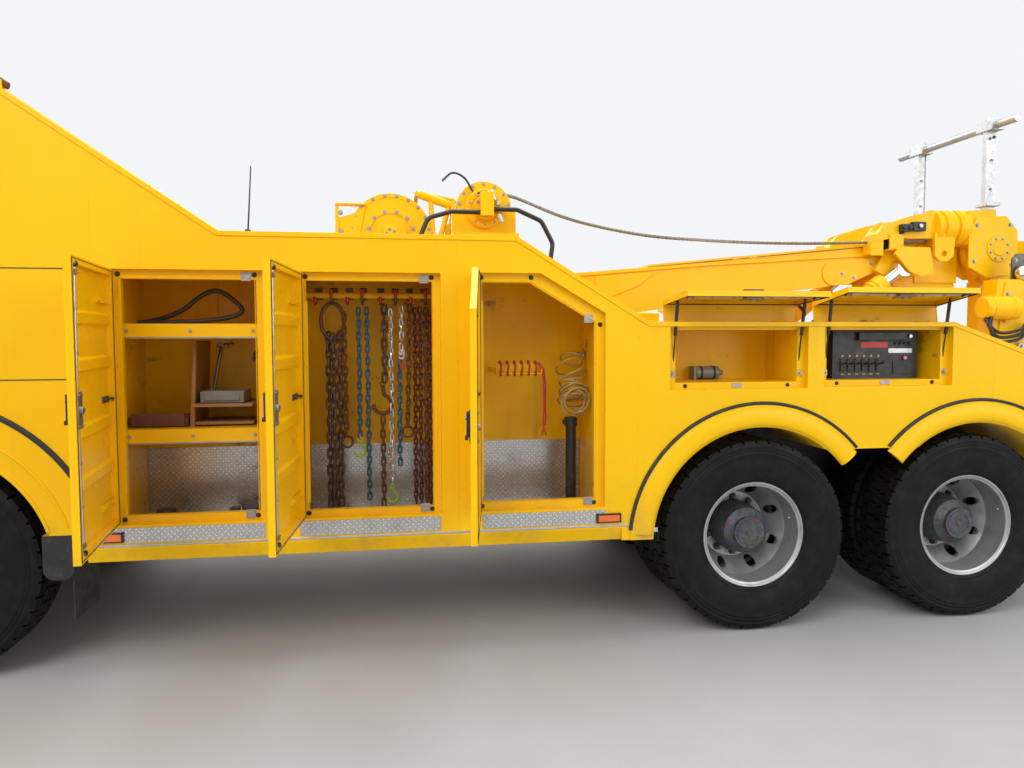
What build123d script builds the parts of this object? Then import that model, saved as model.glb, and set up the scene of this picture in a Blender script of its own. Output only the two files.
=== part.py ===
from build123d import *
from math import cos, hypot, radians, sin
import os

# Heavy recovery truck with four axles, the front two steered and the rear two driven.
# Millimetres. X runs to the rear, Y to the right, Z up from the ground.
# X = 0 is midway between the front bumper and the underlift, Y = 0 is the centre line.

# Overall sizes
LENGTH = 10600
BODY_HALF = 1268
FENDER_HALF = 1276
DECK_TOP = 2198
FLANK_TOP = 1756
SILL_CREASE = 643
FLOOR = 700

# Axles and wheels
FRONT_OVERHANG = 1384
STEER_GAP = 1940
TANDEM = 1350
REAR_OVERHANG = 1650
TYRE_R = 548
TYRE_HALF = 157
BEAD_R = 286
RIM_HALF = 122
RIM_LIP = 299
MOUNT_SHIFT = 168
TRACK_HALF = 1066
TWIN_GAP = 2 * MOUNT_SHIFT + 16
KING_Y = 840
SPINDLE_R = 45
RUN_FIT = 0.05
SEAT = 0.3

# Arches
WELL_R = 700
LIP_R = 640
ARCH_R = 760
STEER_ARCH_R = 840
ARCH_FOOT = 571
BETWEEN_ARCHES = 1038

# Lockers
LOCKER_BACK = 700
INNER_WALL = 660
DOOR_T = 30
DOOR_GAP = 5
FRAME_T = 34
RECESS = DOOR_T + 10
FLAP_BACK = 860
CONTROL_FACE = 1100

# Frame rails
RAIL_OUT = 390
RAIL_H = 300
RAIL_TOP = 985
RAIL_T = 9
RAIL_FLANGE = 85
RAIL_NOSE = 350
RAIL_TAIL = 805
SUBFRAME_H = 150

# Cab
CAB_NOSE = 60
CAB_LENGTH = 2180
CAB_HALF = 1240
CAB_BOTTOM = 1300
CAB_TOP = 3860
CAB_WALL = 55
GLASS_T = 6
CAB_DOOR_START = 290
CAB_DOOR_WIDTH = 950
CAB_DOOR_TOP = 2900
SCREEN_SILL = 1960
CAB_GAP = 60

# Boom
PIVOT_AHEAD = 1000
PIVOT_Z = 1900
PIVOT_R = 60
BEAM_HALF = 250
RAM_Y = 350
RAM_R = 62
ROD_R = 38
RAM_FOOT_BEHIND = 250
RAM_FOOT_Z = 1240
RAM_EYE_REACH = 2490
RAM_EYE_Z = 2150
HEAD_Y = 280
HEAD_AXIS_Z = 2440
POST_REACH = 3140
POST_SHIFT = 75
POST_TOP = 3200
CROSS_TUBE_Z = 3140

# Underlift
LIFT_AHEAD = 500
LIFT_Z = 760
ARM_HALF = 110
ARM_TOP = 2100
SLIDE_HALF = 88
SLIDE_FIT = 0.08
CROSSBAR_Z = 2330

# Derived places
FRONT = -LENGTH / 2
REAR = LENGTH / 2
STEER1_X = FRONT + FRONT_OVERHANG
STEER2_X = STEER1_X + STEER_GAP
DRIVE2_X = REAR - REAR_OVERHANG
DRIVE_X = DRIVE2_X - TANDEM
CAB_FRONT = FRONT + CAB_NOSE
CAB_REAR = CAB_FRONT + CAB_LENGTH
CAB_DOOR_X0 = CAB_FRONT + CAB_DOOR_START
CAB_DOOR_X1 = CAB_DOOR_X0 + CAB_DOOR_WIDTH
BODY_FRONT = CAB_REAR + CAB_GAP
RAIL_FRONT = FRONT + RAIL_NOSE
RAIL_REAR = DRIVE2_X + RAIL_TAIL
PIVOT_X = DRIVE_X - PIVOT_AHEAD
RAM_FOOT = (DRIVE_X + RAM_FOOT_BEHIND, RAM_FOOT_Z)
RAM_EYE = (PIVOT_X + RAM_EYE_REACH, RAM_EYE_Z)
POST_X = PIVOT_X + POST_REACH
LIFT_X = REAR - LIFT_AHEAD
WHEEL_Z = TYRE_R
STEER_AXLES = {"1": STEER1_X, "2": STEER2_X}
DRIVE_AXLES = {"3": DRIVE_X, "4": DRIVE2_X}
SIDES = {"l": -1, "r": 1}
BAY = BODY_HALF - RECESS
BAY_INNER = BAY - FRAME_T


def along(share):
    """A place in the flank, as a share of the way from the second steered axle to the first driven one."""
    return STEER2_X + (DRIVE_X - STEER2_X) * share


FAIRING_FOOT = along(0.3316)
SLOPE_TOP_X = along(0.6784)
SLOPE_FOOT_X = along(0.8475)

# Tall lockers: frame start and end as shares along the flank, its bottom and top, and the chamfer in x and z
# at its rear top corner
TALL_FRAMES = {
    "1": (0.20954, 0.37909, 755, 2007, 0, 0),
    "2": (0.41674, 0.58489, 755, 2003, 0, 0),
    "3": (0.62582, 0.78999, 758, 2008, 352, 207),
}
TALL_BORDER = {"1": (53, 37, 40, 45), "2": (42, 43, 35, 41), "3": (40, 51, 42, 48)}
# Flap lockers: frame start and end behind the first driven axle, its bottom, and the opening's borders
FLAP_FRAMES = {"4": (-535, 270, 1387), "5": (370, 1170, 1393)}
FLAP_BORDER = {"4": (43, 45, 35, 30), "5": (35, 50, 34, 30)}
FLAP_TOP = 1742
# How far each door stands open, in degrees from closed
DOOR_OPEN = {"1": 83.4, "2": 94.0, "3": 98.0}
FLAP_OPEN = {"4": 95.0, "5": 99.5}
FLAP_FOLD = 128
FLAP_SKIN = 4
FLAP_STRIP_T = 6
FLAP_HINGE_Y = BODY_HALF - FLAP_FOLD
FLAP_HINGE_Z = FLANK_TOP - 3


def opening_of(frame, border):
    """The opening inside a frame's front, rear, bottom and top borders."""
    x0, x1, z0, z1 = frame
    return (x0 + border[0], x1 - border[1], z0 + border[2], z1 - border[3])


TALL_LOCKERS = {}
for key, (start, end, z0, z1, chamfer_x, chamfer_z) in TALL_FRAMES.items():
    frame = (along(start), along(end), z0, z1)
    TALL_LOCKERS[key] = (frame, opening_of(frame, TALL_BORDER[key]), (chamfer_x, chamfer_z))
FLAP_LOCKERS = {}
for key, (start, end, z0) in FLAP_FRAMES.items():
    frame = (DRIVE_X + start, DRIVE_X + end, z0, FLAP_TOP)
    FLAP_LOCKERS[key] = (frame, opening_of(frame, FLAP_BORDER[key]))

os.makedirs("parts", exist_ok=True)


def box(x0, x1, y0, y1, z0, z1):
    return Pos((x0 + x1) / 2, (y0 + y1) / 2, (z0 + z1) / 2) * Box(x1 - x0, abs(y1 - y0), z1 - z0)


def slab(points, y0, y1):
    """A prism along Y with the outline given as X, Z points."""
    outline = Plane.XZ * Polygon(*points, align=None)
    return Pos(0, min(y0, y1), 0) * extrude(outline, abs(y1 - y0), dir=(0, 1, 0))


def plan(points, z0, z1):
    """A prism along Z with the outline given as X, Y points."""
    return Pos(0, 0, z0) * extrude(Polygon(*points, align=None), z1 - z0, dir=(0, 0, 1))


def front(points, x0, x1):
    """A prism along X with the outline given as Y, Z points."""
    return Pos(x0, 0, 0) * extrude(Plane.YZ * Polygon(*points, align=None), x1 - x0, dir=(1, 0, 0))


def rod(start, end, r):
    start, end = Vector(*start), Vector(*end)
    middle = (start + end) * 0.5
    return Plane(origin=middle, z_dir=end - start) * Cylinder(r, (end - start).length)


def disc_y(x, z, r, y0, y1):
    return rod((x, y0, z), (x, y1, z), r)


def ring_y(x, z, r_out, r_in, y0, y1):
    return disc_y(x, z, r_out, y0, y1) - disc_y(x, z, r_in, y0 - 1, y1 + 1)


def turned(points, x, y, z, side):
    """A body turned about a wheel's axis from radius, outward points."""
    outline = Polygon(*[(r, side * out) for r, out in points], align=None)
    return Pos(x, y, z) * revolve(outline, Axis.Y)


def mirrored(piece):
    return mirror(piece, about=Plane.XZ)


def group(pieces):
    """Keeps pieces that don't touch as solids of one node."""
    return Compound([solid for piece in pieces for solid in piece.solids()])


def fused(pieces):
    whole = pieces[0]
    for piece in pieces[1:]:
        whole = whole + piece
    return whole


def keep(name, piece):
    export_step(piece, f"parts/{name}.step")


# Hinges

HINGE_PIN_R = 4.5
HINGE_R = 9
HINGE_ROOM = 2
HINGE_HALF = 30
HINGE_LUG = 18


def hinge_parts(at, places, foot):
    """Hinges along one axis, where at(t) is its point at t and foot(t0, t1) fixes a lug to the body.

    Returns the fixed lugs with their pins, the moving barrels, and the room for the lugs, for all and for
    the pins.
    """
    inner = HINGE_HALF + 0.5
    outer = inner + HINGE_LUG
    lugs, barrels, lug_room, room, pin_room = [], [], [], [], []
    for t in places:
        lugs.append(rod(at(t - outer), at(t + outer), HINGE_PIN_R))
        for t0, t1 in ((t - outer, t - inner), (t + inner, t + outer)):
            lugs += [rod(at(t0), at(t1), HINGE_R), foot(t0, t1)]
            lug_room.append(rod(at(t0 - 1), at(t1 + 1), HINGE_R + HINGE_ROOM))
        barrels.append(rod(at(t - HINGE_HALF), at(t + HINGE_HALF), HINGE_R))
        room.append(rod(at(t - outer - 1), at(t + outer + 1), HINGE_R + HINGE_ROOM))
        pin_room.append(rod(at(t - outer), at(t + outer), HINGE_PIN_R + RUN_FIT))
    return lugs, barrels, lug_room, room, pin_room


def add_hinge_lugs(body, parts):
    lugs, _, _, room, _ = parts
    for piece in room:
        body -= piece
    for piece in lugs:
        body += piece
    return body


def add_hinge_barrels(door, parts):
    _, barrels, lug_room, _, pin_room = parts
    for piece in lug_room:
        door -= piece
    for piece in barrels:
        door += piece
    for piece in pin_room:
        door -= piece
    return door


def upright_hinges(x, y, places):
    """Hinges of a left door about an upright axis at its front edge."""
    return hinge_parts(lambda z: (x, y, z), places,
                       lambda z0, z1: box(x - 22, x, y - 5, y + 7, z0, z1))


FLAP_HINGE_INSET = 110
FLAP_ROOM = 10


def level_hinges(frame):
    """Hinges of a left flap about a level axis at the inner edge of its folded strip."""
    y, z = -FLAP_HINGE_Y, FLAP_HINGE_Z
    return hinge_parts(lambda x: (x, y, z), (frame[0] + FLAP_HINGE_INSET, frame[1] - FLAP_HINGE_INSET),
                       lambda x0, x1: box(x0, x1, y, y + FLAP_ROOM + 12, z - HINGE_R + 1, z + 1))


# Wheels

WALL_R = 430
SHOULDER_R = 515


def tyre(x, y, side):
    half_tread = TYRE_HALF - 35
    points = [
        (BEAD_R + SEAT, -RIM_HALF + 16), (RIM_LIP + 2, -RIM_HALF + 8), (RIM_LIP + 8, -RIM_HALF - 4),
        (WALL_R, -TYRE_HALF), (SHOULDER_R, -TYRE_HALF + 5), (TYRE_R, -half_tread),
        (TYRE_R, half_tread), (SHOULDER_R, TYRE_HALF - 5), (WALL_R, TYRE_HALF),
        (RIM_LIP + 8, RIM_HALF + 4), (RIM_LIP + 2, RIM_HALF - 8), (BEAD_R + SEAT, RIM_HALF - 16),
    ]
    return turned(points, x, y, WHEEL_Z, side)


def rim_barrel(x, y, side):
    points = [
        (RIM_LIP, -RIM_HALF - 5), (RIM_LIP, -RIM_HALF + 5), (BEAD_R, -RIM_HALF + 13), (BEAD_R, RIM_HALF - 13),
        (RIM_LIP, RIM_HALF - 5), (RIM_LIP, RIM_HALF + 5),
        (BEAD_R - 8, RIM_HALF - 6), (BEAD_R - 8, -RIM_HALF + 6),
    ]
    return turned(points, x, y, WHEEL_Z, side)


HAND_HOLES = 8
HAND_HOLE_PITCH_R = 236
HAND_HOLE_R = 29
BOLT_FACE_R = 196
HUB_R = 140
DISC_T = 14


def rim_dish(x, y, side):
    """The dished disc from the barrel to the bolting face, which lies MOUNT_SHIFT outboard."""
    points = [
        (BEAD_R - 7, 40), (BEAD_R - 7, 58), (BOLT_FACE_R + 6, MOUNT_SHIFT), (HUB_R - 20, MOUNT_SHIFT),
        (HUB_R - 20, MOUNT_SHIFT - DISC_T), (BOLT_FACE_R, MOUNT_SHIFT - DISC_T),
    ]
    dish = turned(points, x, y, WHEEL_Z, side)
    for i in range(HAND_HOLES):
        turn = radians(360 / HAND_HOLES * (i + 0.5))
        hole_x = x + HAND_HOLE_PITCH_R * cos(turn)
        hole_z = WHEEL_Z + HAND_HOLE_PITCH_R * sin(turn)
        dish -= disc_y(hole_x, hole_z, HAND_HOLE_R, y, y + side * (MOUNT_SHIFT + 20))
    return dish


def steered_rim(x, side):
    y = side * TRACK_HALF
    bolt_face = TRACK_HALF + MOUNT_SHIFT
    hub = disc_y(x, WHEEL_Z, HUB_R - 10, side * 935, side * (bolt_face + 8))
    hub += disc_y(x, WHEEL_Z, HUB_R + 45, side * (bolt_face - DISC_T - 22), side * (bolt_face - DISC_T))
    hub += disc_y(x, WHEEL_Z, 80, side * bolt_face, side * (BODY_HALF - 6))
    drum = ring_y(x, WHEEL_Z, 215, 195, side * 955, side * 1130)
    drum += disc_y(x, WHEEL_Z, 215, side * 1130, side * 1150)
    wheel = fused([rim_barrel(x, y, side), rim_dish(x, y, side), hub, drum])
    return wheel - disc_y(x, WHEEL_Z, SPINDLE_R + RUN_FIT, side * 930, side * 1180)


def twin_rims(x, side):
    """Two rims bolted face to face on one planetary hub."""
    outer_y = side * TRACK_HALF
    inner_y = side * (TRACK_HALF - TWIN_GAP)
    bolt_face = TRACK_HALF - MOUNT_SHIFT
    hub = disc_y(x, WHEEL_Z, HUB_R - 10, side * 640, side * (bolt_face + 40))
    hub += turned(
        [(0, 0), (150, 0), (150, 60), (132, 170), (90, 200), (90, 224), (0, 224)],
        x, side * (bolt_face + 20), WHEEL_Z, side)
    drum = ring_y(x, WHEEL_Z, 215, 195, side * 560, side * 760)
    drum += disc_y(x, WHEEL_Z, 215, side * 760, side * 780)
    web = disc_y(x, WHEEL_Z, HUB_R + 50, side * (bolt_face - 24), side * (bolt_face + 8))
    wheel = fused([
        rim_barrel(x, outer_y, side), rim_dish(x, outer_y, -side),
        rim_barrel(x, inner_y, side), rim_dish(x, inner_y, side), web, hub, drum,
    ])
    return wheel - disc_y(x, WHEEL_Z, SPINDLE_R + RUN_FIT, side * 500, side * 880)


def wheels():
    for axle, x in STEER_AXLES.items():
        for hand, side in SIDES.items():
            keep(f"tyre_{axle}{hand}", tyre(x, side * TRACK_HALF, side))
            keep(f"rim_{axle}{hand}", steered_rim(x, side))
    for axle, x in DRIVE_AXLES.items():
        for hand, side in SIDES.items():
            pair = [tyre(x, side * TRACK_HALF, side), tyre(x, side * (TRACK_HALF - TWIN_GAP), side)]
            keep(f"tyres_{axle}{hand}", group(pair))
            keep(f"rims_{axle}{hand}", twin_rims(x, side))


# Steering and axles

KING_R = 30
YOKE_GAP = 0.5
BEAM_EYE_HALF = 70


def knuckle(x, side):
    """A yoke round the beam's eye, with the kingpin and the wheel spindle."""
    y0, y1 = side * (KING_Y - 55), side * (KING_Y + 90)
    reach = BEAM_EYE_HALF + YOKE_GAP
    yoke = box(x - 60, x + 60, min(y0, y1), max(y0, y1), WHEEL_Z + reach, WHEEL_Z + reach + 45)
    yoke += box(x - 60, x + 60, min(y0, y1), max(y0, y1), WHEEL_Z - reach - 45, WHEEL_Z - reach)
    web = sorted((side * (KING_Y + 60), side * (KING_Y + 90)))
    yoke += box(x - 60, x + 60, web[0], web[1], WHEEL_Z - reach - 45, WHEEL_Z + reach + 45)
    spindle = disc_y(x, WHEEL_Z, SPINDLE_R, side * (KING_Y + 80), side * 1170)
    pin = rod((x, side * KING_Y, WHEEL_Z - reach - 40), (x, side * KING_Y, WHEEL_Z + reach + 40), KING_R)
    arm = sorted((side * (KING_Y - 50), side * (KING_Y - 10)))
    steering_arm = box(x + 50, x + 230, arm[0], arm[1], WHEEL_Z - reach - 45, WHEEL_Z - reach - 25)
    return fused([yoke, spindle, pin, steering_arm])


SPRING_Y = 420
SPRING_HALF = 42


def leaf_spring(x, y, length, z):
    """A stack of leaves, each shorter than the one above it, on one pad."""
    leaves = []
    for i in range(3):
        half = length / 2 * (1 - 0.24 * i)
        leaves.append(box(x - half, x + half, y - SPRING_HALF, y + SPRING_HALF, z - 22 * (i + 1), z - 22 * i))
    return fused(leaves)


def steer_beam(x):
    drop = WHEEL_Z - 120
    centre = box(x - 50, x + 50, -640, 640, drop - 55, drop + 55)
    beam = centre
    for side in (-1, 1):
        outline = [
            (side * 600, drop - 55), (side * (KING_Y - 62), WHEEL_Z - 48),
            (side * (KING_Y - 62), WHEEL_Z + 48),
            (side * 600, drop + 55),
        ]
        beam += front(outline, x - 45, x + 45)
        ends = sorted((side * (KING_Y - 66), side * (KING_Y + 10)))
        beam += box(x - 45, x + 45, ends[0], ends[1], WHEEL_Z - BEAM_EYE_HALF, WHEEL_Z + BEAM_EYE_HALF)
        king = side * KING_Y
        eye = rod((x, king, WHEEL_Z - BEAM_EYE_HALF), (x, king, WHEEL_Z + BEAM_EYE_HALF), 50)
        beam += eye
        beam -= rod((x, side * KING_Y, WHEEL_Z - 100), (x, side * KING_Y, WHEEL_Z + 100), KING_R + RUN_FIT)
        beam += box(x - 90, x + 90, side * SPRING_Y - 45, side * SPRING_Y + 45, drop + 50, drop + 130)
        beam += leaf_spring(x, side * SPRING_Y, 1500, drop + 196)
        for end in (-1, 1):
            x_end = x + end * 700
            hanger = box(x_end - 30, x_end + 30, side * SPRING_Y - 38, side * SPRING_Y + 38,
                         drop + 180, RAIL_TOP - RAIL_H - SEAT)
            beam += hanger
    return beam


def drive_axle(x):
    housing = disc_y(x, WHEEL_Z, 85, -560, 560)
    housing += rod((x - 130, 0, WHEEL_Z), (x + 150, 0, WHEEL_Z), 235)
    housing += disc_y(x, WHEEL_Z, SPINDLE_R, -870, 870)
    housing += rod((x - 330, 0, WHEEL_Z + 40), (x - 120, 0, WHEEL_Z + 20), 90)
    for side in (-1, 1):
        seat = side * SPRING_Y
        housing += box(x - 80, x + 80, seat - 45, seat + 45, WHEEL_Z + 60, WHEEL_Z + 130)
        housing += leaf_spring(x, side * SPRING_Y, 1180, RAIL_TOP - RAIL_H - SEAT)
    return housing


def axles():
    """The steered beams, the driven axles with their shafts, and the knuckles as nodes of their own."""
    for axle, x in STEER_AXLES.items():
        for hand, side in SIDES.items():
            keep(f"knuckle_{axle}{hand}", knuckle(x, side))
    housings = fused([drive_axle(x) for x in DRIVE_AXLES.values()])
    shaft = rod((STEER2_X + 300, 0, WHEEL_Z + 250), (DRIVE_X - 320, 0, WHEEL_Z + 40), 60)
    link = rod((DRIVE_X + 100, 0, WHEEL_Z + 30), (DRIVE2_X - 320, 0, WHEEL_Z + 40), 60)
    return [steer_beam(x) for x in STEER_AXLES.values()] + [fused([housings, shaft, link])]


# Frame and engine

CROSS_MEMBERS = (RAIL_FRONT + 50, BODY_FRONT + 50, along(0.2516), along(0.6258), (DRIVE_X + DRIVE2_X) / 2,
                 RAIL_REAR - 155)
ENGINE = (RAIL_FRONT + 100, RAIL_FRONT + 1330, -290, 290, 560, 1285)


def chassis():
    pieces = []
    for side in (-1, 1):
        y0, y1 = sorted((side * RAIL_OUT, side * (RAIL_OUT - RAIL_FLANGE)))
        rail = box(RAIL_FRONT, RAIL_REAR, y0, y1, RAIL_TOP - RAIL_H, RAIL_TOP)
        i0, i1 = sorted((side * (RAIL_OUT - RAIL_T), side * (RAIL_OUT - RAIL_FLANGE - 1)))
        rail -= box(RAIL_FRONT - 1, RAIL_REAR + 1, i0, i1, RAIL_TOP - RAIL_H + RAIL_T, RAIL_TOP - RAIL_T)
        pieces.append(rail)
        pieces.append(box(BODY_FRONT, RAIL_REAR, y0, y1, RAIL_TOP, RAIL_TOP + SUBFRAME_H))
    for x in CROSS_MEMBERS:
        reach = RAIL_OUT - RAIL_T
        pieces.append(box(x - 40, x + 40, -reach, reach, RAIL_TOP - 115, RAIL_TOP - 15))
    for side in (-1, 1):
        y0, y1 = sorted((side * 470, side * 1150))
        tank = box(STEER1_X + 766, STEER2_X - 764, y0, y1, 330, 716)
        pieces.append(fillet(tank.edges().filter_by(Axis.X), 90))
        y0, y1 = sorted((side * (RAIL_OUT - 5), side * 700))
        pieces.append(box(STEER1_X + 790, STEER2_X - 790, y0, y1, RAIL_TOP - RAIL_H + 5, 712))
        y0, y1 = sorted((side * 312, side * 385))
        for x in (CAB_FRONT + 390, CAB_REAR - 90):
            pieces.append(box(x - 45, x + 45, y0, y1, RAIL_TOP - 5, CAB_BOTTOM - SEAT))
    keep("chassis_frame", group([fused(pieces), engine()] + axles()))


def engine():
    """The engine as one plain block with its mounting feet."""
    x0, x1, y0, y1, z0, z1 = ENGINE
    block = box(x0, x1, y0, y1, z0, z1)
    reach = RAIL_OUT - RAIL_T - SEAT
    lugs = fused([box(x - 50, x + 50, -reach, reach, z0 + 240, z0 + 300) for x in (x0 + 200, x1 - 200)])
    return fused([block, lugs])


# Cab

CORNER_R = 210
GRILLE_HALF = 850
GRILLE_TOP = 1740
ROOF_R = 160
WINDSCREEN = (2000, 2920)
SIDE_GLASS = (CAB_DOOR_X0 + 170, CAB_DOOR_X1 - 80, 2120, 2800)


def cab_form(inset, bottom=CAB_BOTTOM):
    """The cab's outer form, drawn in by the given amount: side, plan and front outlines in common."""
    x0, x1, y1 = CAB_FRONT + inset, CAB_REAR - inset, CAB_HALF - inset
    z0, z1 = bottom + inset, CAB_TOP - inset
    side_outline = [
        (x0 + 10, z0), (x0, SCREEN_SILL - 180), (x0 + 20, SCREEN_SILL - 10),
        (x0 + 270, 2960), (x0 + 520, 3420 - inset),
        (x0 + 1050, z1 - 40), (x0 + 1500, z1), (x1, z1), (x1, z0),
    ]
    form = slab(side_outline, -y1, y1)
    plan_outline = Pos((x0 + x1) / 2, 0, 0) * Rectangle(x1 - x0, 2 * y1)
    plan_prism = extrude(plan_outline, z1 + 100, dir=(0, 0, 1))
    front_edges = plan_prism.edges().filter_by(Axis.Z).sort_by(Axis.X)[:2]
    plan_prism = fillet(front_edges, CORNER_R - inset)
    front_outline = [
        (-y1, z0), (-y1, 2350), (-y1 + 70, z1 - ROOF_R), (-y1 + 70 + ROOF_R, z1), (y1 - 70 - ROOF_R, z1),
        (y1 - 70, z1 - ROOF_R), (y1, 2350), (y1, z0),
    ]
    return form & plan_prism & front(front_outline, x0 - 10, x1 + 10)


def cab_door_zone(side, gap):
    """The space of a cab door, less the given gap all round, from inside to well outside."""
    x0, x1 = CAB_DOOR_X0 + gap, CAB_DOOR_X1 - gap
    z0, z1 = CAB_BOTTOM + 40 + gap, CAB_DOOR_TOP - gap
    outline = [(x0, z0), (x1, z0), (x1, z1), (x0 + 150, z1), (x0, z1 - 500)]
    y0, y1 = sorted((side * 900, side * 1400))
    return slab(outline, y0, y1)


def side_window(side, gap):
    x0, x1, z0, z1 = SIDE_GLASS
    outline = [(x0 + gap, z0 + gap), (x1 - gap, z0 + gap), (x1 - gap, z1 - gap),
               (x0 + 60 + gap, z1 - gap), (x0 + gap, z1 - 180 - gap)]
    y0, y1 = sorted((side * 900, side * 1400))
    return slab(outline, y0, y1)


def windscreen_zone(gap):
    z0, z1 = WINDSCREEN
    half = CAB_HALF - 150
    foot, head = half - gap, half - 40 - gap
    outline = [(-foot, z0 + gap), (foot, z0 + gap), (head, z1 - gap), (-head, z1 - gap)]
    return front(outline, CAB_FRONT - 100, CAB_FRONT + 420)


def cab(under):
    """The shell, the doors and the glass; the cladding and bumper under it come in the shell's node."""
    outer = cab_form(0)
    shell = outer - cab_form(CAB_WALL)
    skin = cab_form(14) - cab_form(14 + GLASS_T)
    panel = outer - cab_form(CAB_WALL - 3, CAB_BOTTOM - 200)
    shell -= windscreen_zone(0)
    for side in (-1, 1):
        shell -= cab_door_zone(side, 0)
    shell -= box(CAB_FRONT - 50, CAB_FRONT + 100, -GRILLE_HALF, GRILLE_HALF, CAB_BOTTOM - 10, GRILLE_TOP)
    hinges = upright_hinges(CAB_DOOR_X0, -CAB_HALF, CAB_HINGES)
    shell = mirrored(add_hinge_lugs(mirrored(add_hinge_lugs(shell, hinges)), hinges))
    keep("cab_shell", group([shell, under]))
    keep("windscreen", (skin & windscreen_zone(SEAT)))
    door = add_hinge_barrels((panel & cab_door_zone(-1, 6)) - side_window(-1, 0), hinges)
    glass = skin & side_window(-1, SEAT)
    for name, piece in (("cab_door", door), ("cab_door_glass", glass)):
        keep(f"{name}_l", piece)
        keep(f"{name}_r", mirrored(piece))
    cab_interior()
    mirrors()


SEAT_Y = 620
CUSHION_Z = 1700
BUNK_Z = 1830
HAND_WHEEL_R = 225


def cab_interior():
    """Seats, dash, wheel and bunk, with X measured from the cab's front."""
    pieces = []
    floor = CAB_BOTTOM + CAB_WALL + SEAT
    inner = CAB_HALF - CAB_WALL
    for side in (-1, 1):
        y = side * SEAT_Y
        base = box(890, 1290, y - 180, y + 180, floor, CUSHION_Z)
        cushion = box(760, 1290, y - 250, y + 250, CUSHION_Z, CUSHION_Z + 150)
        back = slab([(1250, 1840), (1360, 2600), (1480, 2600), (1390, 1810)], y - 240, y + 240)
        pieces.append(fused([base, cushion, back]))
    dash = slab([(180, 1700), (180, 2040), (480, 2080), (560, 1980), (580, 1860), (380, 1640)], -1020, 1020)
    stand = box(190, 340, -300, 300, floor, 1720)
    hub = (650, -SEAT_Y, 2060)
    column = rod((480, -SEAT_Y, 1880), hub, 30)
    wheel = Plane(origin=hub, z_dir=(170, 0, 180)) * Torus(HAND_WHEEL_R, 16)
    spoke = rod((hub[0], hub[1] - HAND_WHEEL_R + 3, hub[2]), (hub[0], hub[1] + HAND_WHEEL_R - 3, hub[2]), 12)
    pieces.append(fused([dash, stand, column, wheel, spoke]))
    bunk = box(1550, CAB_LENGTH - CAB_WALL - SEAT, -inner + 20, inner - 20, BUNK_Z, BUNK_Z + 150)
    legs = box(1600, 1940, -700, 700, floor, BUNK_Z)
    pieces.append(bunk + legs)
    keep("cab_interior", Pos(CAB_FRONT, 0, 0) * group(pieces))


BUMPER_TOP = 1000
SLATS = 6
STEP_ZS = ((470, 640), (760, 930))


def skirts():
    """The cladding under the cab, from the bumper back over the first wheels."""
    ring = cab_form(0, 560) - cab_form(90, 400)
    ring &= box(CAB_FRONT - 10, CAB_REAR - 10, -1300, 1300, 560, CAB_BOTTOM - SEAT)
    ring -= disc_y(STEER1_X, WHEEL_Z, WELL_R, -1400, 1400)
    ring -= box(CAB_FRONT - 50, CAB_FRONT + 600, -1300, 1300, 500, BUMPER_TOP)
    ring -= box(CAB_FRONT - 50, CAB_FRONT + 200, -GRILLE_HALF, GRILLE_HALF, 900, CAB_BOTTOM + 10)
    ring -= box(CAB_REAR - 160, CAB_REAR, -1100, 1100, 500, CAB_BOTTOM + 10)
    ring -= box(CAB_REAR - 160, CAB_REAR, -1300, 1300, 500, 760)
    for side in (-1, 1):
        y0, y1 = sorted((side * 1170, side * 1300))
        ring -= box(CAB_FRONT + 240, CAB_FRONT + 540, y0, y1, 1080, 1240)
    return ring


def bumper():
    """The bumper with the cladding above it, and the headlamps that sit in it."""
    x0 = FRONT
    half = CAB_HALF
    outline = [(x0 + 260, -half), (x0 + 90, 80 - half), (x0, 340 - half),
               (x0, half - 340), (x0 + 90, half - 80), (x0 + 260, half),
               (x0 + 640, half), (x0 + 640, half - 120), (x0 + 330, half - 160),
               (x0 + 160, half - 380), (x0 + 160, 380 - half), (x0 + 330, 160 - half), (x0 + 640, 120 - half),
               (x0 + 640, -half)]
    shell = plan(outline, 360, BUMPER_TOP)
    for side in (-1, 1):
        y0, y1 = sorted((side * 760, side * 1120))
        shell -= box(x0 - 10, x0 + 120, y0, y1, 640, 860)
        y0, y1 = sorted((side * 1165, side * 1300))
        for z0, z1 in STEP_ZS:
            shell -= box(CAB_FRONT + 240, CAB_FRONT + 540, y0, y1, z0, z1)
    shell -= box(x0 - 10, x0 + 70, -420, 420, 420, 560)
    shell += box(x0 + 150, RAIL_FRONT - SEAT, -360, 360, RAIL_TOP - 280, RAIL_TOP - 60)
    slats = []
    reach = GRILLE_HALF - 2
    pitch = (GRILLE_TOP - BUMPER_TOP - 68) / SLATS
    for i in range(SLATS):
        z = BUMPER_TOP + 50 + i * pitch
        slats.append(slab([(CAB_FRONT + 12, z), (CAB_FRONT + 2, z + 70), (CAB_FRONT + 22, z + 78),
                           (CAB_FRONT + 70, z + 14)], -reach, reach))
    posts = [box(CAB_FRONT + 30, CAB_FRONT + 90, y - 20, y + 20, BUMPER_TOP - 10, GRILLE_TOP - 40)
             for y in (-620, 0, 620)]
    whole = fused([shell, skirts()] + posts + slats)
    lamp_pieces = []
    for side in (-1, 1):
        y0, y1 = sorted((side * 765, side * 1115))
        lamp_pieces.append(box(x0 + 60, x0 + 120 - SEAT, y0, y1, 645, 855))
    return whole, lamp_pieces


MIRROR_X = CAB_DOOR_X0 - 35
MIRROR_ARMS = (2200, 2680)


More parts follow.
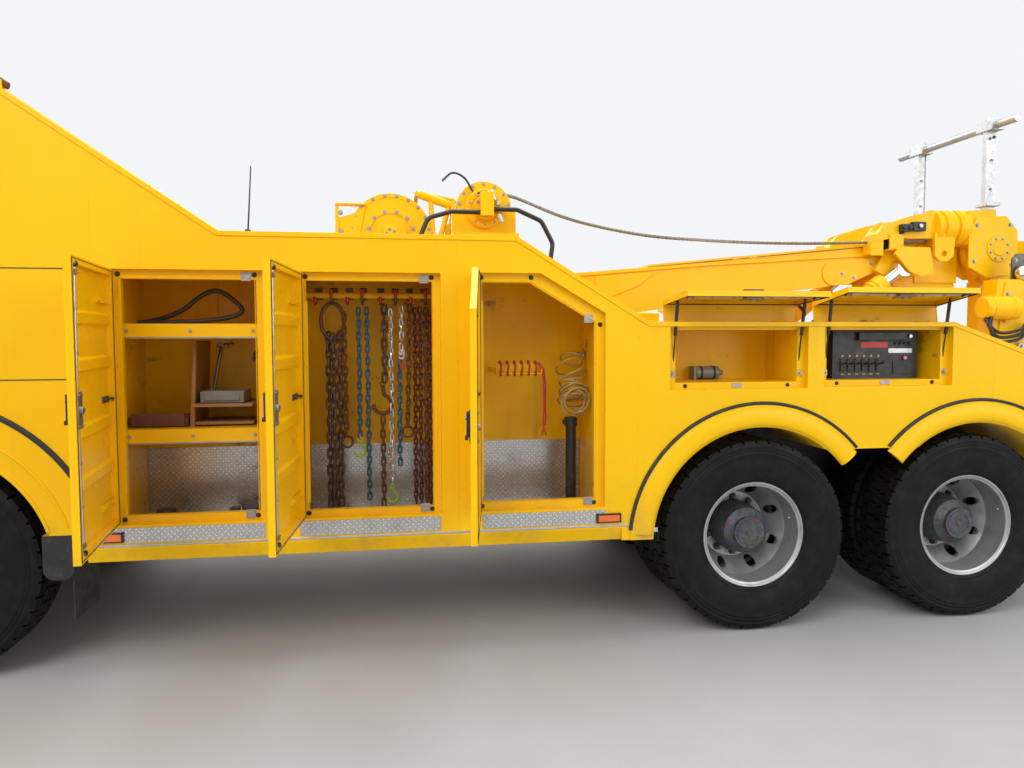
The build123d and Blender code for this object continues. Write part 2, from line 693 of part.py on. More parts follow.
def mirrors():
    pieces = []
    for side in (-1, 1):
        arms = []
        for z in MIRROR_ARMS:
            arms.append(disc_y(MIRROR_X, z, 22, side * (CAB_HALF - 30), side * (CAB_HALF + 12)))
            arms.append(rod((MIRROR_X, side * (CAB_HALF + 5), z), (MIRROR_X - 110, side * 1420, z), 13))
        ys = sorted((side * 1370, side * 1570))
        head = box(MIRROR_X - 155, MIRROR_X - 65, ys[0], ys[1], 2120, 2790)
        head = fillet(head.edges().filter_by(Axis.Z), 30)
        pieces.append(fused([head] + arms) - cab_form(-SEAT))
    keep("mirrors", group(pieces))


# Side bodies with lockers

WELL_SILL = 720
SILL_START = 766
# The flank is made in sections, cut at these places
SECTION_ENDS = ("fairing", "locker_1", "locker_2", "locker_3", "locker_4", "locker_5")


def fairing_top():
    return DECK_TOP - 3 + 0.672 * (FAIRING_FOOT - BODY_FRONT)


def body_outline():
    return [
        (BODY_FRONT, WELL_SILL), (BODY_FRONT, fairing_top()), (FAIRING_FOOT, DECK_TOP),
        (SLOPE_TOP_X, DECK_TOP), (SLOPE_FOOT_X, FLANK_TOP), (DRIVE2_X - 173, FLANK_TOP),
        (DRIVE2_X + 276, 1600), (DRIVE2_X + 800, 1420),
        (DRIVE2_X + 800, 900), (DRIVE2_X + 750, ARCH_FOOT + 250), (DRIVE2_X + LIP_R, ARCH_FOOT + 120),
        (DRIVE2_X, ARCH_FOOT + 120), (DRIVE_X - LIP_R, ARCH_FOOT), (STEER2_X + SILL_START, ARCH_FOOT),
        (STEER2_X + SILL_START, WELL_SILL),
    ]


def locker_outline(rect, chamfer=(0, 0)):
    x0, x1, z0, z1 = rect
    if chamfer[0] == 0:
        return [(x0, z0), (x1, z0), (x1, z1), (x0, z1)]
    return [(x0, z0), (x1, z0), (x1, z1 - chamfer[1]), (x1 - chamfer[0], z1), (x0, z1)]


def side_body():
    """The left body; the right one is its mirror image."""
    body = slab(body_outline(), -BODY_HALF, -INNER_WALL)
    body -= disc_y(STEER2_X, WHEEL_Z, WELL_R, -BODY_HALF + 30, -600)
    body -= disc_y(STEER2_X, WHEEL_Z, LIP_R, -BODY_HALF - 10, -600)
    for x in DRIVE_AXLES.values():
        body -= disc_y(x, WHEEL_Z, LIP_R, -BODY_HALF - 10, -600)
    body -= box(DRIVE_X, DRIVE2_X, -BODY_HALF - 10, -600, 300, BETWEEN_ARCHES)
    for frame, opening, chamfer in TALL_LOCKERS.values():
        body -= slab(locker_outline(frame, chamfer), -BODY_HALF - 10, -BAY)
        body -= slab(locker_outline(opening, chamfer), -BODY_HALF - 10, -BAY_INNER)
        bay = (frame[0], frame[1], FLOOR, frame[3] + 20)
        body -= slab(locker_outline(bay, chamfer), -BAY_INNER - 1, -LOCKER_BACK)
    for frame, opening in FLAP_LOCKERS.values():
        body -= slab(locker_outline(frame), -BODY_HALF - 10, -BAY)
        body -= slab(locker_outline(opening), -BODY_HALF - 10, -FLAP_BACK)
        room_y = FLAP_ROOM - FLAP_HINGE_Y
        body -= box(frame[0], frame[1], -BODY_HALF - 10, room_y, FLAP_TOP - 1, FLANK_TOP + 1)
    (x0, x1, _, _), _, _ = TALL_LOCKERS["1"]
    for lip_top in SHELF_TOPS:
        shelf = box(x0 - 5, x1 + 5, -BAY_INNER + 12, -LOCKER_BACK + 5, lip_top - 24, lip_top - SHELF_DROP)
        lip = box(x0 - 5, x1 + 5, -BAY_INNER + 4, -BAY_INNER + 16, lip_top - 74, lip_top)
        body += shelf + lip
    (x0, x1, _, _), _, _ = TALL_LOCKERS["2"]
    body += rod((x0 - 5, -HOOK_Y, HOOK_Z), (x1 + 5, -HOOK_Y, HOOK_Z), 16)
    for frame, _, _ in TALL_LOCKERS.values():
        body = add_hinge_lugs(body, upright_hinges(frame[0], -BODY_HALF, DOOR_HINGES))
    for frame, _ in FLAP_LOCKERS.values():
        body = add_hinge_lugs(body, level_hinges(frame))
    foot, x0, x1 = ARCH_FOOT - 1, STEER2_X + SILL_START, SLOPE_FOOT_X
    skirt = slab([(x0, foot), (x1, foot), (x1, SILL_CREASE), (x0, SILL_CREASE)], -BODY_HALF - 10, -BODY_HALF)
    tuck = [(-BODY_HALF - 1, foot), (-BODY_HALF + 26, foot), (-BODY_HALF - 1, SILL_CREASE)]
    wedge = front(tuck, x0 - 90, x1 - 150)
    return body - skirt - wedge


SHELF_TOPS = (1745, 1217)
SHELF_DROP = 4
HOOK_Y = 900
HOOK_Z = 1905
DOOR_HINGES = (810, 1300, 1880)
CAB_HINGES = (1500, 2060)


def bodies():
    """The flanks in sections, each with its right-hand twin."""
    whole = side_body()
    frames = [TALL_LOCKERS[key][0] for key in "123"] + [FLAP_LOCKERS[key][0] for key in "45"]
    cuts = [BODY_FRONT - 1, frames[0][0] - 65]
    for ahead, behind in zip(frames, frames[1:]):
        cuts.append((ahead[1] + behind[0]) / 2)
    cuts.append(REAR)
    for name, x0, x1 in zip(SECTION_ENDS, cuts, cuts[1:]):
        piece = whole & box(x0 + SEAT / 2, x1 - SEAT / 2, -BODY_HALF - 60, -INNER_WALL + 60, 0, CAB_TOP + 600)
        keep(f"body_{name}", group([piece, mirrored(piece)]))


def arch_ring(x, r_in, r_out, y_in, floor):
    """A wheel arch's lip: a bevelled half ring that stands proud of the body."""
    bevel = 5
    points = [(r_in, y_in), (r_in, FENDER_HALF - bevel), (r_in + bevel, FENDER_HALF),
              (r_out - bevel, FENDER_HALF),
              (r_out, FENDER_HALF - bevel), (r_out, BODY_HALF + SEAT), (LIP_R - SEAT, BODY_HALF + SEAT),
              (LIP_R - SEAT, y_in)]
    ring = turned(points, x, 0, WHEEL_Z, -1)
    return ring & box(x - 1000, x + 1000, -FENDER_HALF - 1, -y_in + 1, floor, 2000)


def fenders():
    pieces = []
    steer_ring = arch_ring(STEER2_X, LIP_R - 16, STEER_ARCH_R, BODY_HALF - 24, WELL_SILL)
    rear = arch_ring(DRIVE_X, LIP_R - 16, ARCH_R, 560 + 400, ARCH_FOOT)
    rear2 = arch_ring(DRIVE2_X, LIP_R - 16, ARCH_R, 560 + 400, ARCH_FOOT)
    middle = box(DRIVE_X, DRIVE2_X, -FENDER_HALF - 5, -500, 300, BETWEEN_ARCHES)
    pieces.append(steer_ring)
    pieces.append((rear + rear2) - middle)
    foot = box(STEER2_X + 571, STEER2_X + 713, -FENDER_HALF, -BODY_HALF + 60, 500, WELL_SILL - SEAT)
    foot = fillet(foot.edges().filter_by(Axis.Y).sort_by(Axis.Z)[:2], 55)
    flap = box(STEER2_X + 690, STEER2_X + 698, -1240, -920, 290, 715)
    carrier = box(STEER2_X + 672, STEER2_X + 708, -1240, -900, 690, WELL_SILL - SEAT)
    pieces.append(fused([foot, flap, carrier]))
    keep("fenders", group(pieces + [mirrored(p) for p in pieces]))


STRIP_Z = (668, 742)
STRIP_ENDS = {"1": (-5, -11), "2": (-1, -7), "3": (38, 4)}
STRIP_NOTCH = 6
TREAD_T = 3
TREAD_TOP = 1060


def treadplates():
    """Chequer plate on each tall locker's floor and lower back, and a strip below it, notched for the markers."""
    pieces = []
    for key, (frame, _, _) in TALL_LOCKERS.items():
        x0, x1 = frame[0] + 2, frame[1] - 2
        y0, y1 = -LOCKER_BACK - SEAT - TREAD_T, -LOCKER_BACK - SEAT
        floor_plate = box(x0, x1, -BAY_INNER + 20, y1, FLOOR + SEAT, FLOOR + TREAD_T)
        pieces.append(floor_plate + box(x0, x1, y0, y1, FLOOR + TREAD_T, TREAD_TOP))
        start, end = STRIP_ENDS[key]
        outer = -BODY_HALF - SEAT - TREAD_T
        strip = box(frame[0] + start, frame[1] + end, outer, outer + TREAD_T, *STRIP_Z)
        for m0, m1 in MARKERS:
            strip -= box(m0 - STRIP_NOTCH, m1 + STRIP_NOTCH, outer - 1, outer + TREAD_T + 1, STRIP_Z[0] - 1,
                         MARKER_Z + MARKER_HALF + STRIP_NOTCH)
        pieces.append(strip)
    keep("treadplates", group(pieces + [mirrored(p) for p in pieces]))


# Locker doors and flaps

ROD_BOW = 20
ROLLER_R = 14
ROD_DEPTH = 20


def lock_rods(x, z0, z1, y):
    """The two part lock rod on a door's inner face, bowed to the latch, with a roller at each end."""
    middle = (z0 + z1) / 2
    bowed = x + ROD_BOW
    rods = rod((x, y, z0 + 30), (bowed, y, middle - 40), 7) + rod((bowed, y, middle + 40), (x, y, z1 - 30), 7)
    latch = box(bowed - 26, bowed + 26, y - 18, y + 10, middle - 60, middle + 60)
    feet = fused([box(x - 12, x + 12, y - 18, y + 8, z - 12, z + 12) for z in (z0 + 60, z1 - 60)])
    rollers = fused([rod((x - 10, y, z), (x + 10, y, z), ROLLER_R) for z in (z0 + 26, z1 - 26)])
    return fused([rods, latch, feet, rollers])


def swing(piece, x, y, degrees_open):
    return Pos(x, y, 0) * Rot(0, 0, -degrees_open) * Pos(-x, -y, 0) * piece


def tall_door(key):
    """A left door, built closed and then swung open about its front edge."""
    frame, _, chamfer = TALL_LOCKERS[key]
    x0, x1, z0, z1 = frame
    rect = (x0 + DOOR_GAP, x1 - DOOR_GAP, z0 + DOOR_GAP, z1 - DOOR_GAP)
    outer = slab(locker_outline(rect, chamfer), -BODY_HALF, -BODY_HALF + DOOR_T)
    inner_rect = (rect[0] + 32, rect[1] - 32, rect[2] + 32, rect[3] - 32)
    pan = slab(locker_outline(inner_rect, chamfer), -BODY_HALF + 4, -BODY_HALF + DOOR_T + 1)
    door = outer - pan
    top = z1 - DOOR_GAP - chamfer[1]
    door += lock_rods(x1 - 85, z0 + 8, top - 4, -BODY_HALF + ROD_DEPTH)
    door = add_hinge_barrels(door, upright_hinges(x0, -BODY_HALF, DOOR_HINGES))
    return swing(door, x0, -BODY_HALF, DOOR_OPEN[key])


def tip(piece, degrees_open):
    y, z = -FLAP_HINGE_Y, FLAP_HINGE_Z
    return Pos(0, y, z) * Rot(-degrees_open, 0, 0) * Pos(0, -y, -z) * piece


def flap_section(z0, inset, depth):
    """A flap's section across the truck: the panel down the side and the strip folded over the top."""
    y, top = inset - BODY_HALF, FLANK_TOP - inset
    inner = -FLAP_HINGE_Y - 2
    under = FLANK_TOP - FLAP_STRIP_T
    face = -BODY_HALF + depth
    return [(y, z0 + inset), (y, top), (inner, top), (inner, under), (face + 8, under), (face, under - 10),
            (face, z0 + inset)]


def flap(key):
    """A left flap, built closed and then tipped up about its hinges."""
    frame, _ = FLAP_LOCKERS[key]
    x0, x1, z0 = frame[0] + DOOR_GAP, frame[1] - DOOR_GAP, frame[2] + DOOR_GAP
    panel = front(flap_section(z0, 0, DOOR_T), x0, x1)
    panel -= front(flap_section(z0, FLAP_SKIN, DOOR_T + 1), x0 + FLAP_SKIN, x1 - FLAP_SKIN)
    y, z = -BODY_HALF + ROD_DEPTH, z0 + 70
    middle = (x0 + x1) / 2
    for end in (x0 + 40, x1 - 40):
        panel += rod((end, y, z), (middle, y, z + ROD_BOW), 7)
        panel += box(end - 12, end + 12, y - 18, y + 8, z - 12, z + 12)
        panel += rod((end - 10, y, z), (end + 10, y, z), ROLLER_R)
    panel += box(middle - 40, middle + 40, y - 18, y + 10, z - 10, z + 50)
    panel = add_hinge_barrels(panel, level_hinges(frame))
    return tip(panel, FLAP_OPEN[key])


def locker_doors():
    for key in TALL_LOCKERS:
        door = tall_door(key)
        keep(f"locker_door_{key}l", door)
        keep(f"locker_door_{key}r", mirrored(door))
    for key in FLAP_LOCKERS:
        lid = flap(key)
        keep(f"locker_flap_{key}l", lid)
        keep(f"locker_flap_{key}r", mirrored(lid))


# Deck, boom foot and tail

def deck():
    gap = INNER_WALL - SEAT
    sheet = 30
    top, foot = fairing_top() - 10, DECK_TOP - 12
    slope = slab([(BODY_FRONT, top), (FAIRING_FOOT, foot), (FAIRING_FOOT, foot - sheet - 6),
                  (BODY_FRONT + 10, top - sheet)], -gap, gap)
    bulkhead = box(BODY_FRONT, BODY_FRONT + 30, -gap, gap, RAIL_TOP + SUBFRAME_H, top - 10)
    front_x, rear_x = FAIRING_FOOT - 42, PIVOT_X - 300
    base_z = RAIL_TOP + SUBFRAME_H
    plate = box(front_x, rear_x, -gap, gap, DECK_Z - 30, DECK_Z)
    step = box(front_x, FAIRING_FOOT, -gap, gap, DECK_Z - 30, foot)
    walls = fused([box(front_x, rear_x, y - 15, y + 15, base_z, DECK_Z - 20) for y in (-345, 345)])
    rear_wall = box(rear_x - 15, rear_x + 15, -gap, gap, base_z, DECK_Z)
    pieces = [slope, bulkhead, plate, step, walls, rear_wall]
    foot_x, foot_z = RAM_FOOT
    for side in (-1, 1):
        y0, y1 = sorted((side * (BEAM_HALF + 6), side * (BEAM_HALF + 46)))
        cheek = slab([(rear_x + 10, base_z), (PIVOT_X + 450, base_z), (PIVOT_X + 150, PIVOT_Z + 90),
                      (PIVOT_X - 120, PIVOT_Z + 90), (rear_x + 10, PIVOT_Z - 100)], y0, y1)
        pieces.append(cheek)
        for y in (RAM_Y - RAM_R - 28, RAM_Y + RAM_R + 8):
            e0, e1 = sorted((side * y, side * (y + 20)))
            pieces.append(slab([(foot_x - 110, base_z), (foot_x + 110, base_z), (foot_x + 50, foot_z + 60),
                                (foot_x - 50, foot_z + 60)], e0, e1))
        p0, p1 = sorted((side * (RAM_Y - RAM_R - 30), side * (RAM_Y + RAM_R + 30)))
        pieces.append(disc_y(foot_x, foot_z, 35, p0, p1))
    pieces.append(box(rear_x + 5, TAIL_BACK, -gap, gap, base_z, base_z + 16))
    pieces.append(disc_y(PIVOT_X, PIVOT_Z, PIVOT_R, -BEAM_HALF - 60, BEAM_HALF + 60))
    keep("deck", group([fused(pieces + tail_frame()), lift_lugs()]))


DECK_Z = 2050
TAIL_BACK = RAIL_REAR + 125


def tail_frame():
    base_z = RAIL_TOP + SUBFRAME_H
    pieces = [box(RAIL_REAR + SEAT, TAIL_BACK, -CAB_HALF, CAB_HALF, 860, base_z)]
    for side in (-1, 1):
        y0, y1 = sorted((side * 470, side * 600))
        cheek = [(TAIL_BACK - 400, base_z), (TAIL_BACK - 20, base_z), (TAIL_BACK + 20, 1400),
                 (TAIL_BACK + 20, 2060), (TAIL_BACK - 250, 2060), (TAIL_BACK - 310, 1500)]
        pieces.append(slab(cheek, y0, y1))
    return pieces


def lift_lugs():
    """The two lugs on the tail's back with the underlift's pin between them."""
    start = TAIL_BACK + SEAT
    lug = [(start, 700), (LIFT_X + 60, LIFT_Z - 90), (LIFT_X + 90, LIFT_Z), (LIFT_X + 60, LIFT_Z + 90),
           (start, 1120)]
    pieces = [disc_y(LIFT_X, LIFT_Z, 45, -ARM_HALF - 60, ARM_HALF + 60)]
    for side in (-1, 1):
        y0, y1 = sorted((side * (ARM_HALF + 12), side * (ARM_HALF + 52)))
        pieces.append(slab(lug, y0, y1))
    return fused(pieces)


# Boom

def boom():
    """The beam, with X measured from its pivot."""
    beam_outline = [
        (-100, 1900), (-60, 1800), (120, 1830), (615, 1842), (1760, 1997), (2140, 2045), (2584, 2250),
        (2584, 2331), (2431, 2318), (1032, 2178), (100, 2092), (-70, 2000),
    ]
    beam = slab(beam_outline, -BEAM_HALF, BEAM_HALF)
    beam -= disc_y(0, PIVOT_Z, PIVOT_R + RUN_FIT, -400, 400)
    top_plate = slab([(685, 2146), (2520, 2331), (2520, 2345), (685, 2160)], -BEAM_HALF - 12, BEAM_HALF + 12)
    head_block = slab([(2500, 2040), (2710, 1990), (2987, 2000), (2940, 2200), (2900, 2345), (2500, 2340)],
                      -BEAM_HALF, BEAM_HALF)
    pieces = [beam, top_plate, head_block]
    eye_x, eye_z = RAM_EYE_REACH, RAM_EYE_Z
    for side in (-1, 1):
        y0, y1 = sorted((side * (BEAM_HALF - 5), side * (RAM_Y - 48)))
        inner = slab([(2320, 2140), (eye_x - 60, eye_z - 70), (eye_x + 60, eye_z - 70),
                      (2690, 2120), (2690, 2290), (2400, 2290)], y0, y1)
        y2, y3 = sorted((side * (RAM_Y + 48), side * (RAM_Y + 68)))
        outer = slab([(2390, 2243), (2510, 2120), (2589, 2090),
                      (2691, 2110), (2655, 2289), (2430, 2289)], y2, y3)
        y4, y5 = sorted((side * (BEAM_HALF - 5), side * (RAM_Y + 68)))
        bridge = box(2580, 2655, y4, y5, 2150, 2289)
        pieces += [inner, outer, bridge]
    keep("boom", Pos(PIVOT_X, 0, 0) * group([fused(pieces + boom_heads()), uprights()]))


SHEAVE_REACH = 3200
SHEAVE_Z = 2290
HOUSING_HALF = 100
PAD_TOP = 2566
SHACKLE = (2792, 2252)
SHACKLE_BORE_R = 22


def boom_heads():
    """Two rope heads side by side: a guide box, a hollow neck with rings and a sheave housing."""
    heads = []
    for side in (-1, 1):
        y = side * HEAD_Y
        neck = rod((2740, y, HEAD_AXIS_Z), (3030, y, HEAD_AXIS_Z), 108)
        for x0, x1, r in ((2740, 2775, 124), (2830, 2865, 122), (2925, 2990, 128)):
            neck += rod((x0, y, HEAD_AXIS_Z), (x1, y, HEAD_AXIS_Z), r)
        guide = slab([(2260, 2330), (2340, 2440), (2580, 2520), (2750, 2545), (2750, 2360), (2400, 2352)],
                     y - 75, y + 75)
        housing_outline = [
            (2970, 2552), (3100, 2562), (3200, 2520), (3290, 2430), (3340, 2330), (3345, 2180), (3200, 2020),
            (3100, 2140), (3050, 2290), (2970, 2320),
        ]
        housing = slab(housing_outline, y - HOUSING_HALF, y + HOUSING_HALF)
        housing += box(POST_REACH - 50, POST_REACH + 50, y - 98, y + 98, 2500, PAD_TOP)
        housing -= box(3140, 3360, y - 26, y + 26, 1990, 2500)
        sheave = disc_y(SHEAVE_REACH, SHEAVE_Z, 190, y - 22, y + 22)
        boss = disc_y(SHEAVE_REACH, SHEAVE_Z, 52, y - HOUSING_HALF - 14, y + HOUSING_HALF + 14)
        foot = box(2750, 2900, y - 60, y + 60, 2335, HEAD_AXIS_Z)
        eye = slab([(2715, 2400), (2722, 2235), (2760, 2200), (2820, 2200), (2865, 2235), (2880, 2400)],
                   y + side * 75, y + side * 100)
        eye -= disc_y(*SHACKLE, SHACKLE_BORE_R, y - 200, y + 200)
        whole = fused([neck, guide, housing, foot]) - rod((2200, y, HEAD_AXIS_Z), (3140, y, HEAD_AXIS_Z), 40)
        whole += sheave + boss + eye
        heads.append(whole)
    return heads


def uprights():
    """The rack over the heads: two posts seated on the heads' pads and a tube across their tops."""
    pieces = []
    for side in (-1, 1):
        y = side * (HEAD_Y + POST_SHIFT)
        post = box(POST_REACH - 38, POST_REACH + 38, y - 20, y + 20, PAD_TOP + SEAT, POST_TOP)
        y0, y1 = sorted((y - side * 12, y - side * 30))
        post -= box(POST_REACH - 30, POST_REACH + 30, y0, y1, 2600, POST_TOP + 1)
        for z in (2700, 2900):
            post -= disc_y(POST_REACH, z, 16, y - 50, y + 50)
        pieces.append(post)
    pieces.append(disc_y(POST_REACH, CROSS_TUBE_Z, 27, -600, 600))
    return fused(pieces)


def rams():
    """Lift cylinders: barrel pinned to the floor brackets, rod pinned under the boom."""
    foot_x, foot_z = RAM_FOOT
    eye_x, eye_z = RAM_EYE
    reach = hypot(eye_x - foot_x, eye_z - foot_z)
    ux, uz = (eye_x - foot_x) / reach, (eye_z - foot_z) / reach

    def at(distance, y):
        return (foot_x + ux * distance, y, foot_z + uz * distance)

    barrels, rods = [], []
    for side in (-1, 1):
        y = side * RAM_Y
        barrel = rod(at(60, y), at(1320, y), RAM_R)
        barrel += rod(at(1290, y), at(1350, y), RAM_R + 8)
        barrel += disc_y(foot_x, foot_z, 70, y - 45, y + 45)
        barrel -= disc_y(foot_x, foot_z, 35 + RUN_FIT, y - 60, y + 60)
        barrel -= rod(at(120, y), at(1360, y), ROD_R + RUN_FIT)
        barrels.append(barrel)
        piston_rod = rod(at(200, y), at(reach - 30, y), ROD_R)
        piston_rod += disc_y(eye_x, eye_z, 58, y - 42, y + 42)
        rods.append(piston_rod)
    keep("ram_barrels", group(barrels))
    keep("ram_rods", group(rods))


# Winches, hoses and what hangs in the lockers

WINCH_1 = (PIVOT_X - 1020, 2307)
WINCH_2 = (PIVOT_X - 445, 2470)


def winches():
    x1, z1 = WINCH_1
    pieces = []
    for y in (-400, 360):
        pieces.append(disc_y(x1, z1, 250, y - 20, y + 20))
    pieces.append(disc_y(x1, z1, 150, -400, 400))
    pieces.append(disc_y(x1, z1, 60, -460, 420))
    for y in (-440, 400):
        pieces.append(slab([(x1 - 200, DECK_Z + SEAT), (x1 + 200, DECK_Z + SEAT),
                            (x1 + 80, z1 + 60), (x1 - 80, z1 + 60)],
                           y - 12, y + 12))
    first = fused(pieces)
    bracket = slab([(x1 - 330, DECK_Z + SEAT), (x1 - 240, DECK_Z + SEAT),
                    (x1 - 150, z1 + 170), (x1 - 230, z1 + 120),
                    (x1 - 330, z1 + 90)], -430, -380)
    x2, z2 = WINCH_2
    pieces = [disc_y(x2, z2, 175, -420, -390), disc_y(x2, z2, 175, 120, 150), disc_y(x2, z2, 100, -420, 150)]
    pieces.append(disc_y(x2, z2, 120, -480, -420))
    pieces.append(disc_y(x2, z2, 75, -540, -480))
    pieces.append(box(x2 - 40, x2 + 40, -600, -520, z2 - 60, z2 + 80))
    pieces.append(box(x2 - 210, x2 + 200, -560, 170, DECK_Z + SEAT, z2 - 160))
    for y in (-450, 160):
        pieces.append(slab([(x2 - 205, z2 - 165), (x2 + 195, z2 - 165),
                            (x2 + 195, z2 - 20), (x2 + 60, z2 + 60),
                            (x2 - 60, z2 + 60), (x2 - 205, z2 - 20)], y - 10, y + 10))
    second = fused(pieces)
    arm = fused([
        rod((x2 - 400, -400, z2 + 90), (x2 - 190, -400, z2 + 20), 26),
        rod((x2 - 330, -400, z2 + 60), (x2 - 300, -400, DECK_Z + SEAT + 30), 16),
        rod((x2 - 215, -400, z2 + 30), (x2 - 330, -400, DECK_Z + SEAT + 30), 16),
        box(x2 - 350, x2 - 200, -440, -360, DECK_Z + SEAT, DECK_Z + 50),
        box(x2 - 205, x2 - 180, -430, -370, z2 - 10, z2 + 60),
    ])
    keep("winches", group([first + bracket, second + arm]))


HOSE_R = 14


def tube(route, bend, r):
    """A round tube along straight runs joined by arcs."""
    path = FilletPolyline(*route, radius=bend)
    start = Plane(origin=path @ 0, z_dir=path % 0)
    return sweep(start * Circle(r), path=path)


def winch_hoses():
    x, z = WINCH_2
    y = -575
    left = [(x - 415, y, DECK_Z + SEAT), (x - 415, y, 2250), (x - 355, y, 2390), (x - 215, y, z - 40),
            (x - 40 - SEAT, y, z - 40)]
    right = [(x + 40 + SEAT, y, z - 20), (x + 185, y, z - 20), (x + 335, y, 2385), (x + 407, y, 2250),
             (x + 385, y, 2100), (x + 295, y, 1960), (x + 160 + SEAT, y, 1960)]
    keep("winch_hoses", group([tube(route, 60, HOSE_R) for route in (left, right)]))


# Hanging chains: place from the bay's front wall, bottom and half width
CHAINS = ((96, 735, 15), (148, 735, 15), (205, 1080, 13), (270, 1010, 13), (324, 775, 13), (408, 730, 15),
          (458, 745, 13), (520, 965, 13), (566, 1140, 14), (626, 737, 16), (672, 737, 16))
CHAIN_TOP = 1872
CHAIN_HOOK_R = 34


def chains():
    """The hanging chains, each a cross-shaped core on a ring round the hook rod."""
    (x0, _, _, _), _, _ = TALL_LOCKERS["2"]
    pieces = []
    for place, bottom, half in CHAINS:
        x, y = x0 + place, -HOOK_Y
        core = box(x - half, x + half, y - 5, y + 5, bottom, CHAIN_TOP)
        core += box(x - 5, x + 5, y - half, y + half, bottom, CHAIN_TOP)
        hook = rod((x - 8, y, HOOK_Z), (x + 8, y, HOOK_Z), CHAIN_HOOK_R)
        hook -= rod((x - 60, y, HOOK_Z), (x + 60, y, HOOK_Z), 16 + SEAT)
        pieces.append(core + hook)
    return pieces


# What stands in the lockers behind the third door and the fifth one's lid
COIL_R = 88
COIL_Z = 1310
CABLE_R = 14


def locker_stock():
    """The chains, the third locker's hose post, the fifth's control box, the coiled hose and the cable."""
    frame, _, _ = TALL_LOCKERS["3"]
    wall = frame[1]
    post = box(wall - 150, wall - 90, -1000, -940, FLOOR + TREAD_T + SEAT, COIL_Z - COIL_R - SEAT)
    (x0, *_), (_, _, sill, lintel) = FLAP_LOCKERS["5"]
    controls = box(x0 + 154, x0 + 690, -CONTROL_FACE, -FLAP_BACK - SEAT, sill + SEAT, lintel - SEAT)
    keep("locker_chains", group(chains() + [post, controls]))
    route = [(wall - 96, -1010, COIL_Z), (wall - 96, -905, COIL_Z), (wall - 92, -860, COIL_Z + 260)]
    keep("air_hose_coil", tube(route, 100, COIL_R))
    front_x, shelf = TALL_LOCKERS["1"][0][0], SHELF_TOPS[0] - SHELF_DROP + CABLE_R + SEAT
    loop = [(45, -955, 0), (640, -955, 0), (480, -945, 172), (380, -940, 165), (220, -925, 24), (45, -915, 0)]
    keep("cable_coil", tube([(front_x + x, y, shelf + z) for x, y, z in loop], 30, CABLE_R))


# Underlift

def underlift():
    """The arm on the tail's pin, the slide in it and the crossbar on its head, with X from the pin."""
    arm = box(-ARM_HALF, ARM_HALF, -ARM_HALF, ARM_HALF, LIFT_Z, ARM_TOP)
    arm += disc_y(0, LIFT_Z, ARM_HALF, -ARM_HALF, ARM_HALF)
    arm -= disc_y(0, LIFT_Z, 45 + RUN_FIT, -200, 200)
    bore = SLIDE_HALF + SLIDE_FIT
    arm -= box(-bore, bore, -bore, bore, LIFT_Z + 360, ARM_TOP + 1)
    slide = box(-SLIDE_HALF, SLIDE_HALF, -SLIDE_HALF, SLIDE_HALF, LIFT_Z + 380, CROSSBAR_Z - 130)
    head = slab([(-92, CROSSBAR_Z - 130), (130, CROSSBAR_Z - 130), (BAR_START - 30, CROSSBAR_Z - 60),
                 (BAR_START - 30, CROSSBAR_Z + 60), (60, CROSSBAR_Z + 60), (-92, CROSSBAR_Z - 60)], -90, 90)
    pin = rod((BAR_START - 40, 0, CROSSBAR_Z), (BAR_START + 110, 0, CROSSBAR_Z), 40)
    bar = box(BAR_START, BAR_END, -820, 820, CROSSBAR_Z - 75, CROSSBAR_Z + 75)
    bar -= rod((BAR_START - 130, 0, CROSSBAR_Z), (BAR_START + 111, 0, CROSSBAR_Z), 40 + RUN_FIT)
    for side in (-1, 1):
        y = side * 700
        bar += box(BAR_END, LIFT_AHEAD, y - 60, y + 60, CROSSBAR_Z - 60, CROSSBAR_Z + 60)
        fork_x = LIFT_AHEAD - 40
        bar -= rod((fork_x, y, CROSSBAR_Z - 200), (fork_x, y, CROSSBAR_Z + 200), FORK_BORE_R)
    for name, piece in (("arm", arm), ("slide", fused([slide, head, pin])), ("crossbar", bar)):
        keep(f"underlift_{name}", Pos(LIFT_X, 0, 0) * piece)


FORK_BORE_R = 25
BAR_START = 280
BAR_END = 420


MARKER_Z = 698
MARKER_HALF = 17
MARKERS = ((TALL_LOCKERS["1"][0][0] - 74, TALL_LOCKERS["1"][0][0] + 36),
           (TALL_LOCKERS["3"][0][1] - 38, TALL_LOCKERS["3"][0][1] + 78))


def lamps(headlamps):
    pieces = headlamps
    for side in (-1, 1):
        y0, y1 = sorted((side * 900, side * 1220))
        pieces.append(box(TAIL_BACK + SEAT, TAIL_BACK + 40, y0, y1, 900, 1040))
        for x0, x1 in MARKERS:
            y0, y1 = sorted((side * (BODY_HALF + SEAT), side * (BODY_HALF + 18)))
            pieces.append(box(x0, x1, y0, y1, MARKER_Z - MARKER_HALF, MARKER_Z + MARKER_HALF))
    keep("lamps", group(pieces))


wheels()
chassis()
under, headlamps = bumper()
cab(under)
bodies()
fenders()
treadplates()
locker_doors()
deck()
boom()
rams()
winches()
winch_hoses()
locker_stock()
underlift()
lamps(headlamps)
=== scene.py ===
import bpy, bmesh
from math import asin, cos, hypot, pi, radians, sin
from mathutils import Vector, Matrix


